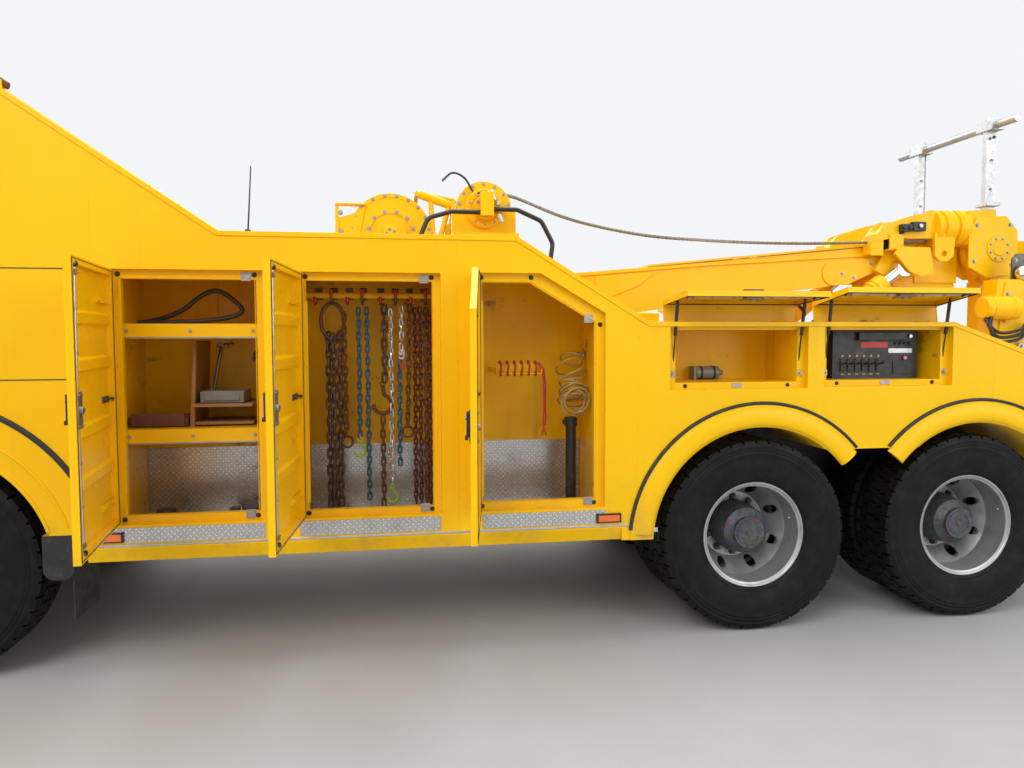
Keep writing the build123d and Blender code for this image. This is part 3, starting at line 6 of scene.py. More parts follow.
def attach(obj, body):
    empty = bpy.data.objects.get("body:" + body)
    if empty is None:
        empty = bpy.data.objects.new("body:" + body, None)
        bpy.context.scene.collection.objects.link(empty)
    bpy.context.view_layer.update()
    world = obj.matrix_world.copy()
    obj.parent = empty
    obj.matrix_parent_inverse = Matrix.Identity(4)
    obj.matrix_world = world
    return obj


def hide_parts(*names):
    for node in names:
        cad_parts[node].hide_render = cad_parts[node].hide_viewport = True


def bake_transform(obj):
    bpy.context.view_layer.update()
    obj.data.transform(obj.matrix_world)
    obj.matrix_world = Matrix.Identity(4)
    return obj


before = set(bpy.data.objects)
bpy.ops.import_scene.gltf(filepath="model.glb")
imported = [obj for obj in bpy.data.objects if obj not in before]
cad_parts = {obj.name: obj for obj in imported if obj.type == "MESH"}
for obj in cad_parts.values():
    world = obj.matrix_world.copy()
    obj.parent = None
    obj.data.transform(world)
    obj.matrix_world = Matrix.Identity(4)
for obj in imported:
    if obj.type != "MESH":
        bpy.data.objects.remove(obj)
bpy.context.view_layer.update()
LEFT, RIGHT = -1, 1
HAND = {LEFT: "l", RIGHT: "r"}


# ---- camera, fitted to the wheels and to the body's straight edges in the photograph
EYE = (0.2596, -5.2553, 1.664)
YAW, PITCH, ROLL = radians(9.062), radians(3.334), radians(-0.14)
LENS, SENSOR, FAR = 27.09, 36.0, 200


def camera():
    data = bpy.data.cameras.new("camera")
    data.sensor_width = SENSOR
    data.lens = LENS
    data.clip_end = FAR
    cam = bpy.data.objects.new("camera", data)
    bpy.context.scene.collection.objects.link(cam)
    look = Vector((sin(YAW) * cos(PITCH), cos(YAW) * cos(PITCH), -sin(PITCH)))
    turn = look.to_track_quat("-Z", "Y").to_matrix() @ Matrix.Rotation(ROLL, 3, "Z")
    cam.matrix_world = Matrix.Translation(EYE) @ turn.to_4x4()
    bpy.context.scene.camera = cam


# ---- node tree helpers
class Nodes:
    """Short calls for building one material's node tree."""

    def __init__(self, name):
        self.mat = bpy.data.materials.new(name)
        self.mat.use_nodes = True
        self.tree = self.mat.node_tree
        self.tree.nodes.clear()
        self.out = self.tree.nodes.new("ShaderNodeOutputMaterial")
        self.shader = self.tree.nodes.new("ShaderNodeBsdfPrincipled")
        self.link(self.shader.outputs[0], self.out.inputs[0])
        self.pos = self.tree.nodes.new("ShaderNodeNewGeometry").outputs["Position"]
        self.place = self.tree.nodes.new("ShaderNodeTexCoord").outputs["Object"]

    def link(self, a, b):
        self.tree.links.new(a, b)

    def put(self, socket, value):
        if hasattr(value, "is_output"):
            self.link(value, socket)
        elif hasattr(socket.default_value, "__len__") and not hasattr(value, "__len__"):
            socket.default_value = [value] * len(socket.default_value)
        elif hasattr(socket.default_value, "__len__") and len(socket.default_value) == 4 and len(value) == 3:
            socket.default_value = (*value, 1.0)
        else:
            socket.default_value = value

    def node(self, kind, **inputs):
        n = self.tree.nodes.new(kind)
        for key, value in inputs.items():
            self.put(n.inputs[key.replace("_", " ")], value)
        return n

    def math(self, kind, a, b=0.0, c=0.0):
        n = self.tree.nodes.new("ShaderNodeMath")
        n.operation = kind
        for i, v in enumerate((a, b, c)):
            self.put(n.inputs[i], v)
        return n.outputs[0]

    def noise(self, scale, detail=3.0, rough=0.55, where=None, distort=0.0):
        n = self.node("ShaderNodeTexNoise", Vector=where or self.place, Scale=scale, Detail=detail,
                      Roughness=rough, Distortion=distort)
        return n.outputs[0]

    def stretch(self, scale, where=None):
        n = self.tree.nodes.new("ShaderNodeMapping")
        self.link(where or self.place, n.inputs[0])
        n.inputs["Scale"].default_value = scale
        return n.outputs[0]

    def cells(self, scale, feature="F1", where=None, out="Distance"):
        n = self.node("ShaderNodeTexVoronoi", Vector=where or self.place, Scale=scale)
        n.feature = feature
        return n.outputs[out]

    def ramp(self, value, low, high, a=0.0, b=1.0):
        n = self.tree.nodes.new("ShaderNodeMapRange")
        n.interpolation_type = "SMOOTHSTEP"
        for key, v in (("Value", value), ("From Min", low), ("From Max", high), ("To Min", a), ("To Max", b)):
            self.put(n.inputs[key], v)
        return n.outputs[0]

    def mix(self, share, a, b):
        n = self.tree.nodes.new("ShaderNodeMix")
        n.data_type = "RGBA"
        self.put(n.inputs[0], share)
        self.put(n.inputs[6], a)
        self.put(n.inputs[7], b)
        return n.outputs[2]

    def split(self, where=None):
        n = self.tree.nodes.new("ShaderNodeSeparateXYZ")
        self.link(where or self.place, n.inputs[0])
        return n.outputs

    def bump(self, height, strength, distance, under=None):
        n = self.tree.nodes.new("ShaderNodeBump")
        n.inputs["Strength"].default_value = strength
        n.inputs["Distance"].default_value = distance
        self.link(height, n.inputs["Height"])
        if under is not None:
            self.link(under, n.inputs["Normal"])
        return n.outputs[0]

    def edges(self, radius=0.004):
        """Wear along edges: 1 where the bevelled normal leaves the surface's own."""
        bevel = self.tree.nodes.new("ShaderNodeBevel")
        bevel.samples = 4
        bevel.inputs["Radius"].default_value = radius
        dot = self.tree.nodes.new("ShaderNodeVectorMath")
        dot.operation = "DOT_PRODUCT"
        self.link(bevel.outputs[0], dot.inputs[0])
        self.link(self.tree.nodes.new("ShaderNodeNewGeometry").outputs["Normal"], dot.inputs[1])
        return self.ramp(dot.outputs["Value"], 0.97, 0.80)

    def done(self, color, rough, metal=0.0, normal=None, **extra):
        for key, value in (("Base Color", color), ("Roughness", rough), ("Metallic", metal)):
            self.put(self.shader.inputs[key], value)
        if normal is not None:
            self.link(normal, self.shader.inputs["Normal"])
        for key, value in extra.items():
            self.put(self.shader.inputs[key.replace("_", " ")], value)
        return self.mat


YELLOW = (0.98, 0.59, 0.002)
YELLOW_DEEP = (0.90, 0.50, 0.002)
# Lockers' insides: the darker ochre is painted shade in the bays; the lighter one is close to the outer
# yellow.
BAY_SHADE_OCHRE = (0.84, 0.48, 0.004)
OCHRE_LIGHT = (0.97, 0.58, 0.003)
STEEL = (0.42, 0.41, 0.39)
GRIME = (0.055, 0.045, 0.035)
BAY_FRONT, BAY_BACK = (1.226, 1.222), (0.655, 0.664)
PLATE_PITCH = 0.030


def yellow_paint(name, inside=False, wear=0.25):
    """Road paint with a soft orange peel, dust low down, rain marks and chips; lockers are scuffed inside,
    and their insides turn a darker ochre that is painted shade.
    """
    n = Nodes(name)
    _, y, z = n.split(n.pos)
    base = n.mix(n.noise(0.9, 2.0), YELLOW, YELLOW_DEEP)
    base = n.mix(n.ramp(n.noise(4.0, 4.0), 0.35, 0.75, 0.0, 0.35), base, YELLOW)
    if inside:
        # Painted shade: inside the lockers, between BAY_FRONT and BAY_BACK in depth, the paint turns a patchy
        # darker ochre; the scuffs, grime marks and streaks laid over it are real marks.
        depth = n.math("ABSOLUTE", y)
        bay = n.math("MULTIPLY", n.ramp(depth, *BAY_FRONT), n.ramp(depth, *BAY_BACK))
        scuff = n.noise(3.0, 8.0, 0.7, n.stretch((1.0, 1.0, 2.6)))
        bay_shade_and_scuffs = n.mix(n.ramp(n.noise(2.2, 3.0), 0.35, 0.75), BAY_SHADE_OCHRE, OCHRE_LIGHT)
        marks = n.math("MULTIPLY", n.ramp(scuff, 0.585, 0.66), n.ramp(n.noise(14.0, 6.0, 0.75), 0.44, 0.62))
        bay_shade_and_scuffs = n.mix(n.math("MULTIPLY", marks, 0.75), bay_shade_and_scuffs, GRIME)
        streak = n.noise(16.0, 4.0, 0.6, n.stretch((1.0, 1.0, 0.08)))
        bay_shade_and_scuffs = n.mix(n.ramp(streak, 0.60, 0.78, 0.0, 0.35), bay_shade_and_scuffs, (0.20, 0.11, 0.02))
        base = n.mix(bay, base, bay_shade_and_scuffs)
    dust = n.math("MULTIPLY", n.ramp(z, 1.0, 0.5), n.ramp(n.noise(6.0, 6.0, 0.65), 0.42, 0.75))
    base = n.mix(n.math("MULTIPLY", dust, 0.45), base, (0.30, 0.22, 0.10))
    rain = n.noise(20.0, 3.0, 0.5, n.stretch((1.0, 1.0, 0.05)))
    base = n.mix(n.ramp(rain, 0.62, 0.85, 0.0, 0.16), base, (0.42, 0.26, 0.03))
    chip = n.math("MULTIPLY", n.edges(0.005), n.ramp(n.noise(34.0, 4.0, 0.7), 0.56, 0.66))
    base = n.mix(n.math("MULTIPLY", chip, wear * 2.4), base, (0.10, 0.075, 0.05))
    fleck = n.ramp(n.noise(90.0, 2.0), 0.71, 0.76)
    base = n.mix(n.math("MULTIPLY", fleck, 0.30), base, (0.28, 0.16, 0.02))
    rough = n.ramp(n.noise(7.0, 5.0), 0.3, 0.75, 0.26, 0.44)
    rough = n.math("MAXIMUM", rough, n.math("MULTIPLY", dust, 0.7))
    peel = n.bump(n.noise(260.0, 2.0), 0.05, 0.0006)
    sag = n.bump(n.noise(1.6, 1.0), 0.16, 0.01, peel)
    return n.done(base, rough, 0.0, sag, Coat_Weight=0.08, Coat_Roughness=0.15, Specular_IOR_Level=0.18)


def treadplate(name):
    """Chequer plate: short raised bars in crossed directions."""
    n = Nodes(name)
    x, y, z = n.split(n.pos)
    across = n.math("ADD", x, y)
    u = n.math("DIVIDE", n.math("ADD", across, z), PLATE_PITCH)
    v = n.math("DIVIDE", n.math("SUBTRACT", across, z), PLATE_PITCH)
    fu = n.math("SUBTRACT", n.math("FRACT", u), 0.5)
    fv = n.math("SUBTRACT", n.math("FRACT", v), 0.5)
    cell = n.math("ADD", n.math("FLOOR", u), n.math("FLOOR", v))
    odd = n.math("MODULO", n.math("ABSOLUTE", cell), 2.0)

    def bar(a, b):
        long = n.math("POWER", n.math("DIVIDE", a, 0.46), 2.0)
        short = n.math("POWER", n.math("DIVIDE", b, 0.15), 2.0)
        return n.ramp(n.math("ADD", long, short), 1.0, 0.55)

    one, two = bar(fu, fv), bar(fv, fu)
    raised = n.math("ADD", n.math("MULTIPLY", odd, one),
                    n.math("MULTIPLY", n.math("SUBTRACT", 1.0, odd), two))
    color = n.mix(raised, (0.50, 0.495, 0.475), (0.86, 0.855, 0.83))
    grime = n.ramp(n.noise(5.0, 6.0, 0.7), 0.45, 0.8)
    color = n.mix(n.math("MULTIPLY", grime, 0.38), color, (0.16, 0.14, 0.11))
    rough = n.math("ADD", n.ramp(grime, 0.0, 1.0, 0.30, 0.62), n.math("MULTIPLY", raised, -0.08))
    return n.done(color, rough, 0.85, n.bump(raised, 0.9, 0.0022))


def bare_steel(name, tone=STEEL, rough=0.36, rust=0.0, metal=0.9):
    n = Nodes(name)
    spangle = n.cells(60.0, out="Color")
    grey = n.mix(0.16, tone, spangle)
    grey = n.mix(0.55, grey, tone)
    color = n.mix(n.ramp(n.noise(9.0, 5.0), 0.4, 0.8, 0.0, 0.5), grey, tuple(c * 0.55 for c in tone))
    where = n.ramp(n.noise(22.0, 6.0, 0.7), 0.62 - 0.4 * rust, 0.75 - 0.3 * rust)
    color = n.mix(n.math("MULTIPLY", where, min(1.0, 0.15 + rust)), color, (0.16, 0.055, 0.018))
    shine = n.ramp(n.noise(30.0, 4.0), 0.3, 0.8, rough, rough + 0.22)
    dull = n.math("MULTIPLY", where, rust)
    bump = n.bump(n.noise(120.0, 4.0), 0.12 + rust * 0.5, 0.0008)
    return n.done(color, n.math("MAXIMUM", shine, n.math("MULTIPLY", dull, 0.9)),
                  n.ramp(dull, 0.0, 1.0, metal, 0.1), bump)


def plastic(name, tone, rough=0.5, dusty=0.3, grain=0.25):
    n = Nodes(name)
    color = n.mix(n.ramp(n.noise(8.0, 4.0), 0.35, 0.8, 0.0, 0.4), tone, tuple(c * 0.6 for c in tone))
    dust = n.ramp(n.noise(13.0, 7.0, 0.7), 0.48, 0.85)
    color = n.mix(n.math("MULTIPLY", dust, dusty), color, (0.20, 0.18, 0.15))
    shine = n.ramp(n.noise(21.0, 4.0), 0.3, 0.8, rough - 0.08, rough + 0.12)
    return n.done(color, shine, 0.0, n.bump(n.noise(300.0, 3.0), grain, 0.0006))


def tyre_rubber(name):
    """Black rubber with patches of grey dust."""
    n = Nodes(name)
    base = n.mix(n.noise(5.0, 5.0), (0.004, 0.004, 0.0042), (0.008, 0.008, 0.0083))
    dust = n.ramp(n.noise(11.0, 7.0, 0.7), 0.42, 0.85)
    base = n.mix(n.math("MULTIPLY", dust, 0.16), base, (0.085, 0.078, 0.066))
    rough = n.ramp(n.noise(9.0, 4.0), 0.3, 0.8, 0.44, 0.68)
    fine = n.bump(n.noise(210.0, 4.0), 0.22, 0.0008)
    return n.done(base, rough, 0.0, fine, Specular_IOR_Level=0.16)


def silver_paint(name):
    n = Nodes(name)
    base = n.mix(n.noise(3.0, 3.0), (0.36, 0.365, 0.37), (0.50, 0.505, 0.51))
    soot = n.ramp(n.noise(9.0, 7.0, 0.7), 0.42, 0.8)
    base = n.mix(n.math("MULTIPLY", soot, 0.42), base, (0.10, 0.095, 0.088))
    chip = n.math("MULTIPLY", n.edges(0.003), n.ramp(n.noise(60.0, 4.0), 0.55, 0.65))
    base = n.mix(n.math("MULTIPLY", chip, 0.6), base, (0.16, 0.10, 0.07))
    rough = n.ramp(n.noise(14.0, 4.0), 0.3, 0.8, 0.30, 0.5)
    return n.done(base, rough, 0.55, n.bump(n.noise(240.0, 3.0), 0.10, 0.0005))


def window_glass(name):
    n = Nodes(name)
    haze = n.ramp(n.noise(4.0, 5.0), 0.4, 0.9, 0.02, 0.12)
    return n.done((0.09, 0.11, 0.11), haze, 0.0, n.bump(n.noise(2.0, 1.0), 0.03, 0.004),
                  Transmission_Weight=0.55, IOR=1.45)


def lamp_plastic(name, tone):
    n = Nodes(name)
    x, y, _ = n.split(n.pos)
    rib = n.math("PINGPONG", n.math("MULTIPLY", n.math("ADD", x, y), 120.0), 0.5)
    color = n.mix(rib, tone, tuple(min(1.0, c * 1.5 + 0.02) for c in tone))
    color = n.mix(n.ramp(n.noise(30.0, 4.0), 0.5, 0.9, 0.0, 0.4), color, tuple(c * 0.4 for c in tone))
    return n.done(color, n.ramp(n.noise(15.0, 3.0), 0.3, 0.8, 0.10, 0.26), 0.0, n.bump(rib, 0.3, 0.001),
                  Coat_Weight=0.6)


def cloth(name, tone, weave=900.0):
    """Woven cover with a fine over-and-under weave, its thread tops lighter than its hollows, and lighter
    patches here and there.
    """
    n = Nodes(name)
    x, y, z = n.split(n.pos)
    over = n.math("SINE", n.math("MULTIPLY", n.math("ADD", x, z), weave))
    under = n.math("SINE", n.math("MULTIPLY", n.math("ADD", y, z), weave))
    thread = n.math("MULTIPLY", over, under)
    color = n.mix(n.ramp(thread, -1.0, 1.0), tuple(c * 0.6 for c in tone), tone)
    color = n.mix(n.ramp(n.noise(6.0, 5.0), 0.45, 0.8, 0.0, 0.4), color, tuple(c * 1.5 for c in tone))
    return n.done(color, 0.9, 0.0, n.bump(thread, 0.5, 0.001), Sheen_Weight=0.3)


def wood(name):
    n = Nodes(name)
    grain = n.noise(6.0, 6.0, 0.6, n.stretch((1.0, 12.0, 12.0)), 1.5)
    color = n.mix(grain, (0.23, 0.11, 0.045), (0.42, 0.24, 0.11))
    color = n.mix(n.ramp(n.noise(4.0, 5.0), 0.5, 0.8, 0.0, 0.6), color, (0.07, 0.045, 0.03))
    return n.done(color, 0.72, 0.0, n.bump(grain, 0.4, 0.002))


M = {}


def materials():
    M.update({
        "yellow": yellow_paint("yellow_paint_outer"),
        "body": yellow_paint("yellow_paint_body", inside=True, wear=0.3),
        "machine": yellow_paint("yellow_paint_machine", wear=0.45),
        "frame": plastic("frame_paint_black", (0.035, 0.035, 0.037), 0.5, 0.5),
        "cast": bare_steel("cast_dark", (0.07, 0.07, 0.07), 0.55, 0.25, 0.5),
        "glass": window_glass("window_glass"),
        "black": plastic("black_plastic", (0.018, 0.018, 0.019), 0.45, 0.3),
        "rubber": plastic("black_rubber", (0.014, 0.014, 0.015), 0.6, 0.25),
        "hose": plastic("hose_rubber", (0.012, 0.012, 0.013), 0.42, 0.12),
        "lamp": lamp_plastic("lamp_orange", (0.75, 0.13, 0.01)),
        "lamp_red": lamp_plastic("lamp_red", (0.55, 0.01, 0.01)),
        "lamp_clear": lamp_plastic("lamp_clear", (0.6, 0.6, 0.62)),
        "tread": treadplate("chequer_plate"),
        "galv": bare_steel("galvanised_steel", (0.52, 0.53, 0.53), 0.32),
        "steel": bare_steel("plain_steel", (0.36, 0.355, 0.34), 0.34, 0.12),
        "dark_steel": bare_steel("dark_steel", (0.12, 0.115, 0.11), 0.42, 0.25),
        "chrome": bare_steel("bright_rod", (0.78, 0.78, 0.78), 0.06, 0.0, 1.0),
        "rust": bare_steel("rusty_chain", (0.11, 0.06, 0.04), 0.6, 0.8, 0.4),
        "chain_dark": bare_steel("dark_chain", (0.085, 0.06, 0.045), 0.45, 0.45, 0.6),
        "chain_blue": plastic("blue_chain", (0.045, 0.12, 0.19), 0.35, 0.25),
        "chain_silver": bare_steel("silver_chain", (0.66, 0.66, 0.65), 0.26, 0.06),
        "chain_red": plastic("red_chain", (0.10, 0.018, 0.014), 0.45, 0.25),
        "tyre": tyre_rubber("tyre_rubber"),
        "silver": silver_paint("rim_silver"),
        "hub": bare_steel("hub_grey", (0.055, 0.057, 0.06), 0.45, 0.12, 0.45),
        "red": plastic("red_paint", (0.52, 0.02, 0.012), 0.35, 0.15),
        "lime": plastic("lime_paint", (0.38, 0.62, 0.05), 0.4, 0.15),
        "wood": wood("board_wood"),
        "air": plastic("air_hose_straw", (0.50, 0.36, 0.14), 0.25, 0.1, 0.05),
        "rope": bare_steel("wire_rope", (0.26, 0.235, 0.20), 0.42, 0.15, 0.6),
        "cable": plastic("grey_cable", (0.045, 0.043, 0.04), 0.45, 0.3),
        "white": plastic("white_plate", (0.72, 0.72, 0.70), 0.3, 0.2, 0.05),
        "crate": plastic("crate_board", (0.16, 0.055, 0.03), 0.6, 0.4),
        "case_grey": plastic("grey_case", (0.20, 0.20, 0.19), 0.4, 0.3, 0.1),
        "red_cord": plastic("red_cord", (0.45, 0.03, 0.02), 0.6, 0.2),
        "seat_cloth": cloth("seat_cloth", (0.055, 0.06, 0.07)),
        "bunk_cloth": cloth("bunk_cloth", (0.12, 0.12, 0.14)),
        "lamp_smoke": plastic("smoked_visor", (0.03, 0.02, 0.015), 0.15, 0.1, 0.02),
        "pink": plastic("pink_button", (0.75, 0.22, 0.30), 0.25, 0.05, 0.05),
    })


NODE_LOOK = {
    "cab_shell": "yellow", "cab_door": "yellow", "cab_door_glass": "glass", "windscreen": "glass",
    "cab_interior": "black", "mirrors": "black", "lamps": "lamp", "body": "body", "fenders": "yellow",
    "treadplates": "tread", "locker_door": "body", "locker_flap": "body", "deck": "machine",
    "boom": "machine",
    "ram_barrels": "machine", "ram_rods": "chrome", "winches": "machine", "winch_hoses": "hose",
    "locker_chains": "dark_steel", "air_hose_coil": "air", "cable_coil": "cable", "underlift": "machine",
    "knuckle": "cast", "chassis_frame": "frame", "tyre": "tyre", "rim": "silver",
}


def dress_nodes():
    """Each carried-over CAD node gets its finish by the longest matching name."""
    for name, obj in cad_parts.items():
        match = max((k for k in NODE_LOOK if name.startswith(k)), key=len)
        obj.data.materials.clear()
        obj.data.materials.append(M[NODE_LOOK[match]])


# ---- mesh helpers
class Form:
    """One piece's mesh, gathered from simple solids in the row frame and finished as one object."""

    def __init__(self):
        self.bm = bmesh.new()

    def faces(self, points, faces):
        verts = [self.bm.verts.new(p) for p in points]
        for f in faces:
            self.bm.faces.new([verts[i] for i in f])
        return verts

    def box(self, x0, x1, y0, y1, z0, z1, turn=None):
        pts = [Vector((x, y, z)) for x in (x0, x1) for y in (y0, y1) for z in (z0, z1)]
        if turn is not None:
            pts = [turn @ p for p in pts]
        quads = ((0, 1, 3, 2), (4, 6, 7, 5), (0, 4, 5, 1), (2, 3, 7, 6), (0, 2, 6, 4), (1, 5, 7, 3))
        self.faces(pts, quads)
        return self

    def prism(self, outline, low, high, axis="y"):
        """An outline of 2-D points drawn out along one axis."""
        def at(a, b, c):
            return {"y": (a, c, b), "x": (c, a, b), "z": (a, b, c)}[axis]
        n = len(outline)
        pts = [at(a, b, low) for a, b in outline] + [at(a, b, high) for a, b in outline]
        faces = [tuple(range(n)), tuple(range(2 * n - 1, n - 1, -1))]
        faces += [(i, i + n, (i + 1) % n + n, (i + 1) % n) for i in range(n)]
        self.faces(pts, faces)
        return self

    def lathe(self, profile, origin, axis, n=32, closed=False):
        """A profile of (radius, along) points turned about an axis."""
        axis = Vector(axis).normalized()
        side = axis.orthogonal().normalized()
        up = axis.cross(side)
        origin = Vector(origin)
        rings = []
        for i in range(n):
            turn = 2 * pi * i / n
            out = side * cos(turn) + up * sin(turn)
            rings.append([self.bm.verts.new(origin + axis * a + out * r) for r, a in profile])
        m = len(profile)
        spans = range(m if closed else m - 1)
        for i in range(n):
            a, b = rings[i], rings[(i + 1) % n]
            for j in spans:
                k = (j + 1) % m
                quad = [a[j], a[k], b[k], b[j]]
                if profile[j][0] < 1e-9:
                    quad = [a[k], b[k], b[j]]
                if profile[k][0] < 1e-9:
                    quad = [a[j], a[k], b[j]]
                self.bm.faces.new(quad)
        return self

    def cyl(self, p0, p1, r, n=20, r1=None, chamfer=0.0):
        p0, p1 = Vector(p0), Vector(p1)
        length = (p1 - p0).length
        r1 = r if r1 is None else r1
        c = min(chamfer, length / 3, r / 2)
        profile = [(0, 0), (r, 0), (r1, length), (0, length)]
        if c:
            profile = [(0, 0), (r - c, 0), (r, c), (r1, length - c), (r1 - c, length), (0, length)]
        return self.lathe(profile, p0, p1 - p0, n)

    def ring(self, p0, p1, r_out, r_in, n=24):
        p0, p1 = Vector(p0), Vector(p1)
        length = (p1 - p0).length
        profile = [(r_in, 0), (r_out, 0), (r_out, length), (r_in, length)]
        return self.lathe(profile, p0, p1 - p0, n, closed=True)

    def ball(self, p, r, n=12, squash=(1, 1, 1)):
        made = bmesh.ops.create_uvsphere(self.bm, u_segments=n, v_segments=max(6, n // 2), radius=r)
        for v in made["verts"]:
            v.co = Vector((v.co[i] * squash[i] for i in range(3))) + Vector(p)
        return self

    def tube(self, points, r, n=8, closed=False, flat=None):
        """A round bar along a line of points; flat gives a second radius for a strip."""
        pts = [Vector(p) for p in points]
        count = len(pts)
        rings = []
        normal = None
        for i, p in enumerate(pts):
            if closed:
                tangent = pts[(i + 1) % count] - pts[i - 1]
            else:
                tangent = pts[min(i + 1, count - 1)] - pts[max(i - 1, 0)]
            tangent.normalize()
            if normal is None:
                normal = tangent.orthogonal().normalized()
            normal = (normal - tangent * normal.dot(tangent)).normalized()
            side = tangent.cross(normal)
            ring = []
            for k in range(n):
                a = 2 * pi * k / n
                ring.append(self.bm.verts.new(p + normal * cos(a) * r + side * sin(a) * (flat or r)))
            rings.append(ring)
        for i in range(count if closed else count - 1):
            a, b = rings[i], rings[(i + 1) % count]
            for k in range(n):
                self.bm.faces.new((a[k], a[(k + 1) % n], b[(k + 1) % n], b[k]))
        if not closed:
            self.bm.faces.new(rings[0][::-1])
            self.bm.faces.new(rings[-1])
        return self

    def move(self, matrix):
        bmesh.ops.transform(self.bm, matrix=matrix, verts=self.bm.verts)
        return self

    def done(self, name, body, look, slot=None, bevel=0.0, smooth=35, both=None, segments=2, stand_for=()):
        """Finishes the piece on a body, in its look's own slot; both mirrors it. The slot argument is not
        used.
        """
        bmesh.ops.recalc_face_normals(self.bm, faces=self.bm.faces)
        made = []
        for side in ((LEFT,) if both is None else (LEFT, RIGHT)):
            mesh = bpy.data.meshes.new(name)
            self.bm.to_mesh(mesh)
            if side == RIGHT:
                mesh.transform(Matrix.Scale(-1, 4, (0, 1, 0)))
                mesh.flip_normals()
            label = name if both is None else f"{name}_{HAND[side]}"
            obj = bpy.data.objects.new(label, mesh)
            bpy.context.scene.collection.objects.link(obj)
            mesh.materials.append(M[look])
            if smooth:
                mesh.shade_smooth()
                mesh.set_sharp_from_angle(angle=radians(smooth))
            if bevel:
                mod = obj.modifiers.new("edge", "BEVEL")
                mod.width, mod.segments, mod.limit_method = bevel, segments, "ANGLE"
                mod.angle_limit = radians(35)
            if body:
                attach(obj, body if side == LEFT else both)
            made.append(obj)
        if stand_for:
            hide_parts(*stand_for)
        self.bm.free()
        return made[0] if len(made) == 1 else made

    def pair(self, name, look, body="truck", **extra):
        """The piece and its mirror image; a left-hand body ends in l, its right-hand one in r."""
        other = body[:-1] + "r" if body.endswith("l") else body
        return self.done(name, body, look, both=other, **extra)


# ---- wheels
AXLE_X = {1: -3.916, 2: -1.976, 3: 2.3, 4: 3.65}
WHEEL_Z, TRACK, TWIN = 0.548, 1.066, 0.352
TREAD_ROWS = ((-0.142, -0.096), (-0.088, -0.042), (-0.034, 0.034), (0.042, 0.088), (0.096, 0.142))
PITCHES = 44
TREAD_SHIFT = (0.0, 0.5, 0.22, 0.5, 0.0)
TREAD_FLOOR = 0.5275
MOUNT_SHIFT, NUT_CIRCLE, NUTS = 0.168, 0.1675, 10
HUB_R = 0.158


def sidewall_profile():
    """Half of the tyre's section as (radius, outward) points, from bead to tread, with its fine ribs."""
    return [(0.288, 0.104), (0.300, 0.116), (0.306, 0.127), (0.316, 0.131), (0.322, 0.137), (0.330, 0.1375),
            (0.334, 0.1405), (0.340, 0.1415), (0.372, 0.149), (0.400, 0.1545), (0.430, 0.1565),
            (0.462, 0.1555),
            (0.466, 0.1567), (0.470, 0.1567), (0.473, 0.1550), (0.480, 0.1545), (0.483, 0.1560),
            (0.488, 0.1558),
            (0.491, 0.1535), (0.503, 0.1520), (0.507, 0.1535), (0.514, 0.1520), (0.526, 0.1470)]


def tyre_form(form, x, y, side):
    """One tyre: its section turned about the axle, and rows of tread blocks standing on it."""
    wall = sidewall_profile()
    section = wall + [(TREAD_FLOOR, a) for a in (0.1395, 0.05, -0.05, -0.1395)]
    section += [(r, -a) for r, a in reversed(wall)] + [(0.288, -0.104)]
    form.lathe(section, (x, y, WHEEL_Z), (0, side, 0), n=88)
    step = 2 * pi / PITCHES
    for row, (a0, a1) in enumerate(TREAD_ROWS):
        edge = row in (0, 4)
        shift = TREAD_SHIFT[row]
        for i in range(PITCHES):
            t0 = step * (i + shift + (0.10 if edge else 0.07))
            t1 = step * (i + shift + 0.93)
            skew = 0.012 * (1 if row in (1, 2) else -1) * (0 if edge else 1)
            corners = []
            for t in (t0, t1):
                for a in (a0, a1):
                    out = abs(a) > 0.14
                    top = 0.5385 if out else 0.5478
                    base = 0.520 if out else 0.526
                    turn = t + skew * (a - a0) / (a1 - a0)
                    corners.append((base, turn, a * (1.045 if out else 1.0)))
                    corners.append((top, turn, a))
            pts = [(x + r * cos(t), y + side * a, WHEEL_Z + r * sin(t)) for r, t, a in corners]
            form.faces(pts, ((0, 1, 3, 2), (4, 6, 7, 5), (1, 5, 7, 3), (0, 4, 5, 1), (2, 3, 7, 6)))
    return form


def hub_details(form, x, side, face_y, flange_r, bolts):
    """Bolts on washers round the hub's flange."""
    out = Vector((0, side, 0))
    for i in range(bolts):
        a = 2 * pi * (i + 0.5) / bolts
        p = Vector((x + flange_r * cos(a), face_y, WHEEL_Z + flange_r * sin(a)))
        form.cyl(p - out * 0.002, p + out * 0.0035, 0.0105, 12)
        form.cyl(p + out * 0.0035, p + out * 0.012, 0.0078, 6)


def wheel_nuts(form, x, side, face_y):
    """The wheel nuts with their studs on the bolting face."""
    out = Vector((0, side, 0))
    for i in range(NUTS):
        a = 2 * pi * (i + 0.5) / NUTS
        p = Vector((x + NUT_CIRCLE * cos(a), face_y, WHEEL_Z + NUT_CIRCLE * sin(a)))
        form.cyl(p - out * 0.003, p + out * 0.004, 0.022, 14)
        form.cyl(p + out * 0.004, p + out * 0.024, 0.0165, 6)
        form.cyl(p + out * 0.024, p + out * 0.034, 0.0105, 10)


def rim_trim(form, x, y, side, lip):
    """The rim's rolled lip, its bead seat step and the valve."""
    form.lathe([(0.300, lip - 0.014), (0.3025, lip - 0.004), (0.3015, lip + 0.002), (0.297, lip + 0.0025),
                (0.291, lip - 0.001), (0.2865, lip - 0.010), (0.2820, lip - 0.022), (0.2790, lip - 0.034)],
               (x, y, WHEEL_Z), (0, side, 0), n=72)
    a = radians(18)
    foot = Vector((x + 0.255 * cos(a), y + side * (lip - 0.055), WHEEL_Z + 0.255 * sin(a)))
    form.tube([foot, foot + Vector((0, side * 0.012, 0)), foot + Vector((-0.010, side * 0.028, 0.004)),
               foot + Vector((-0.022, side * 0.046, 0.009))], 0.0042, 8)


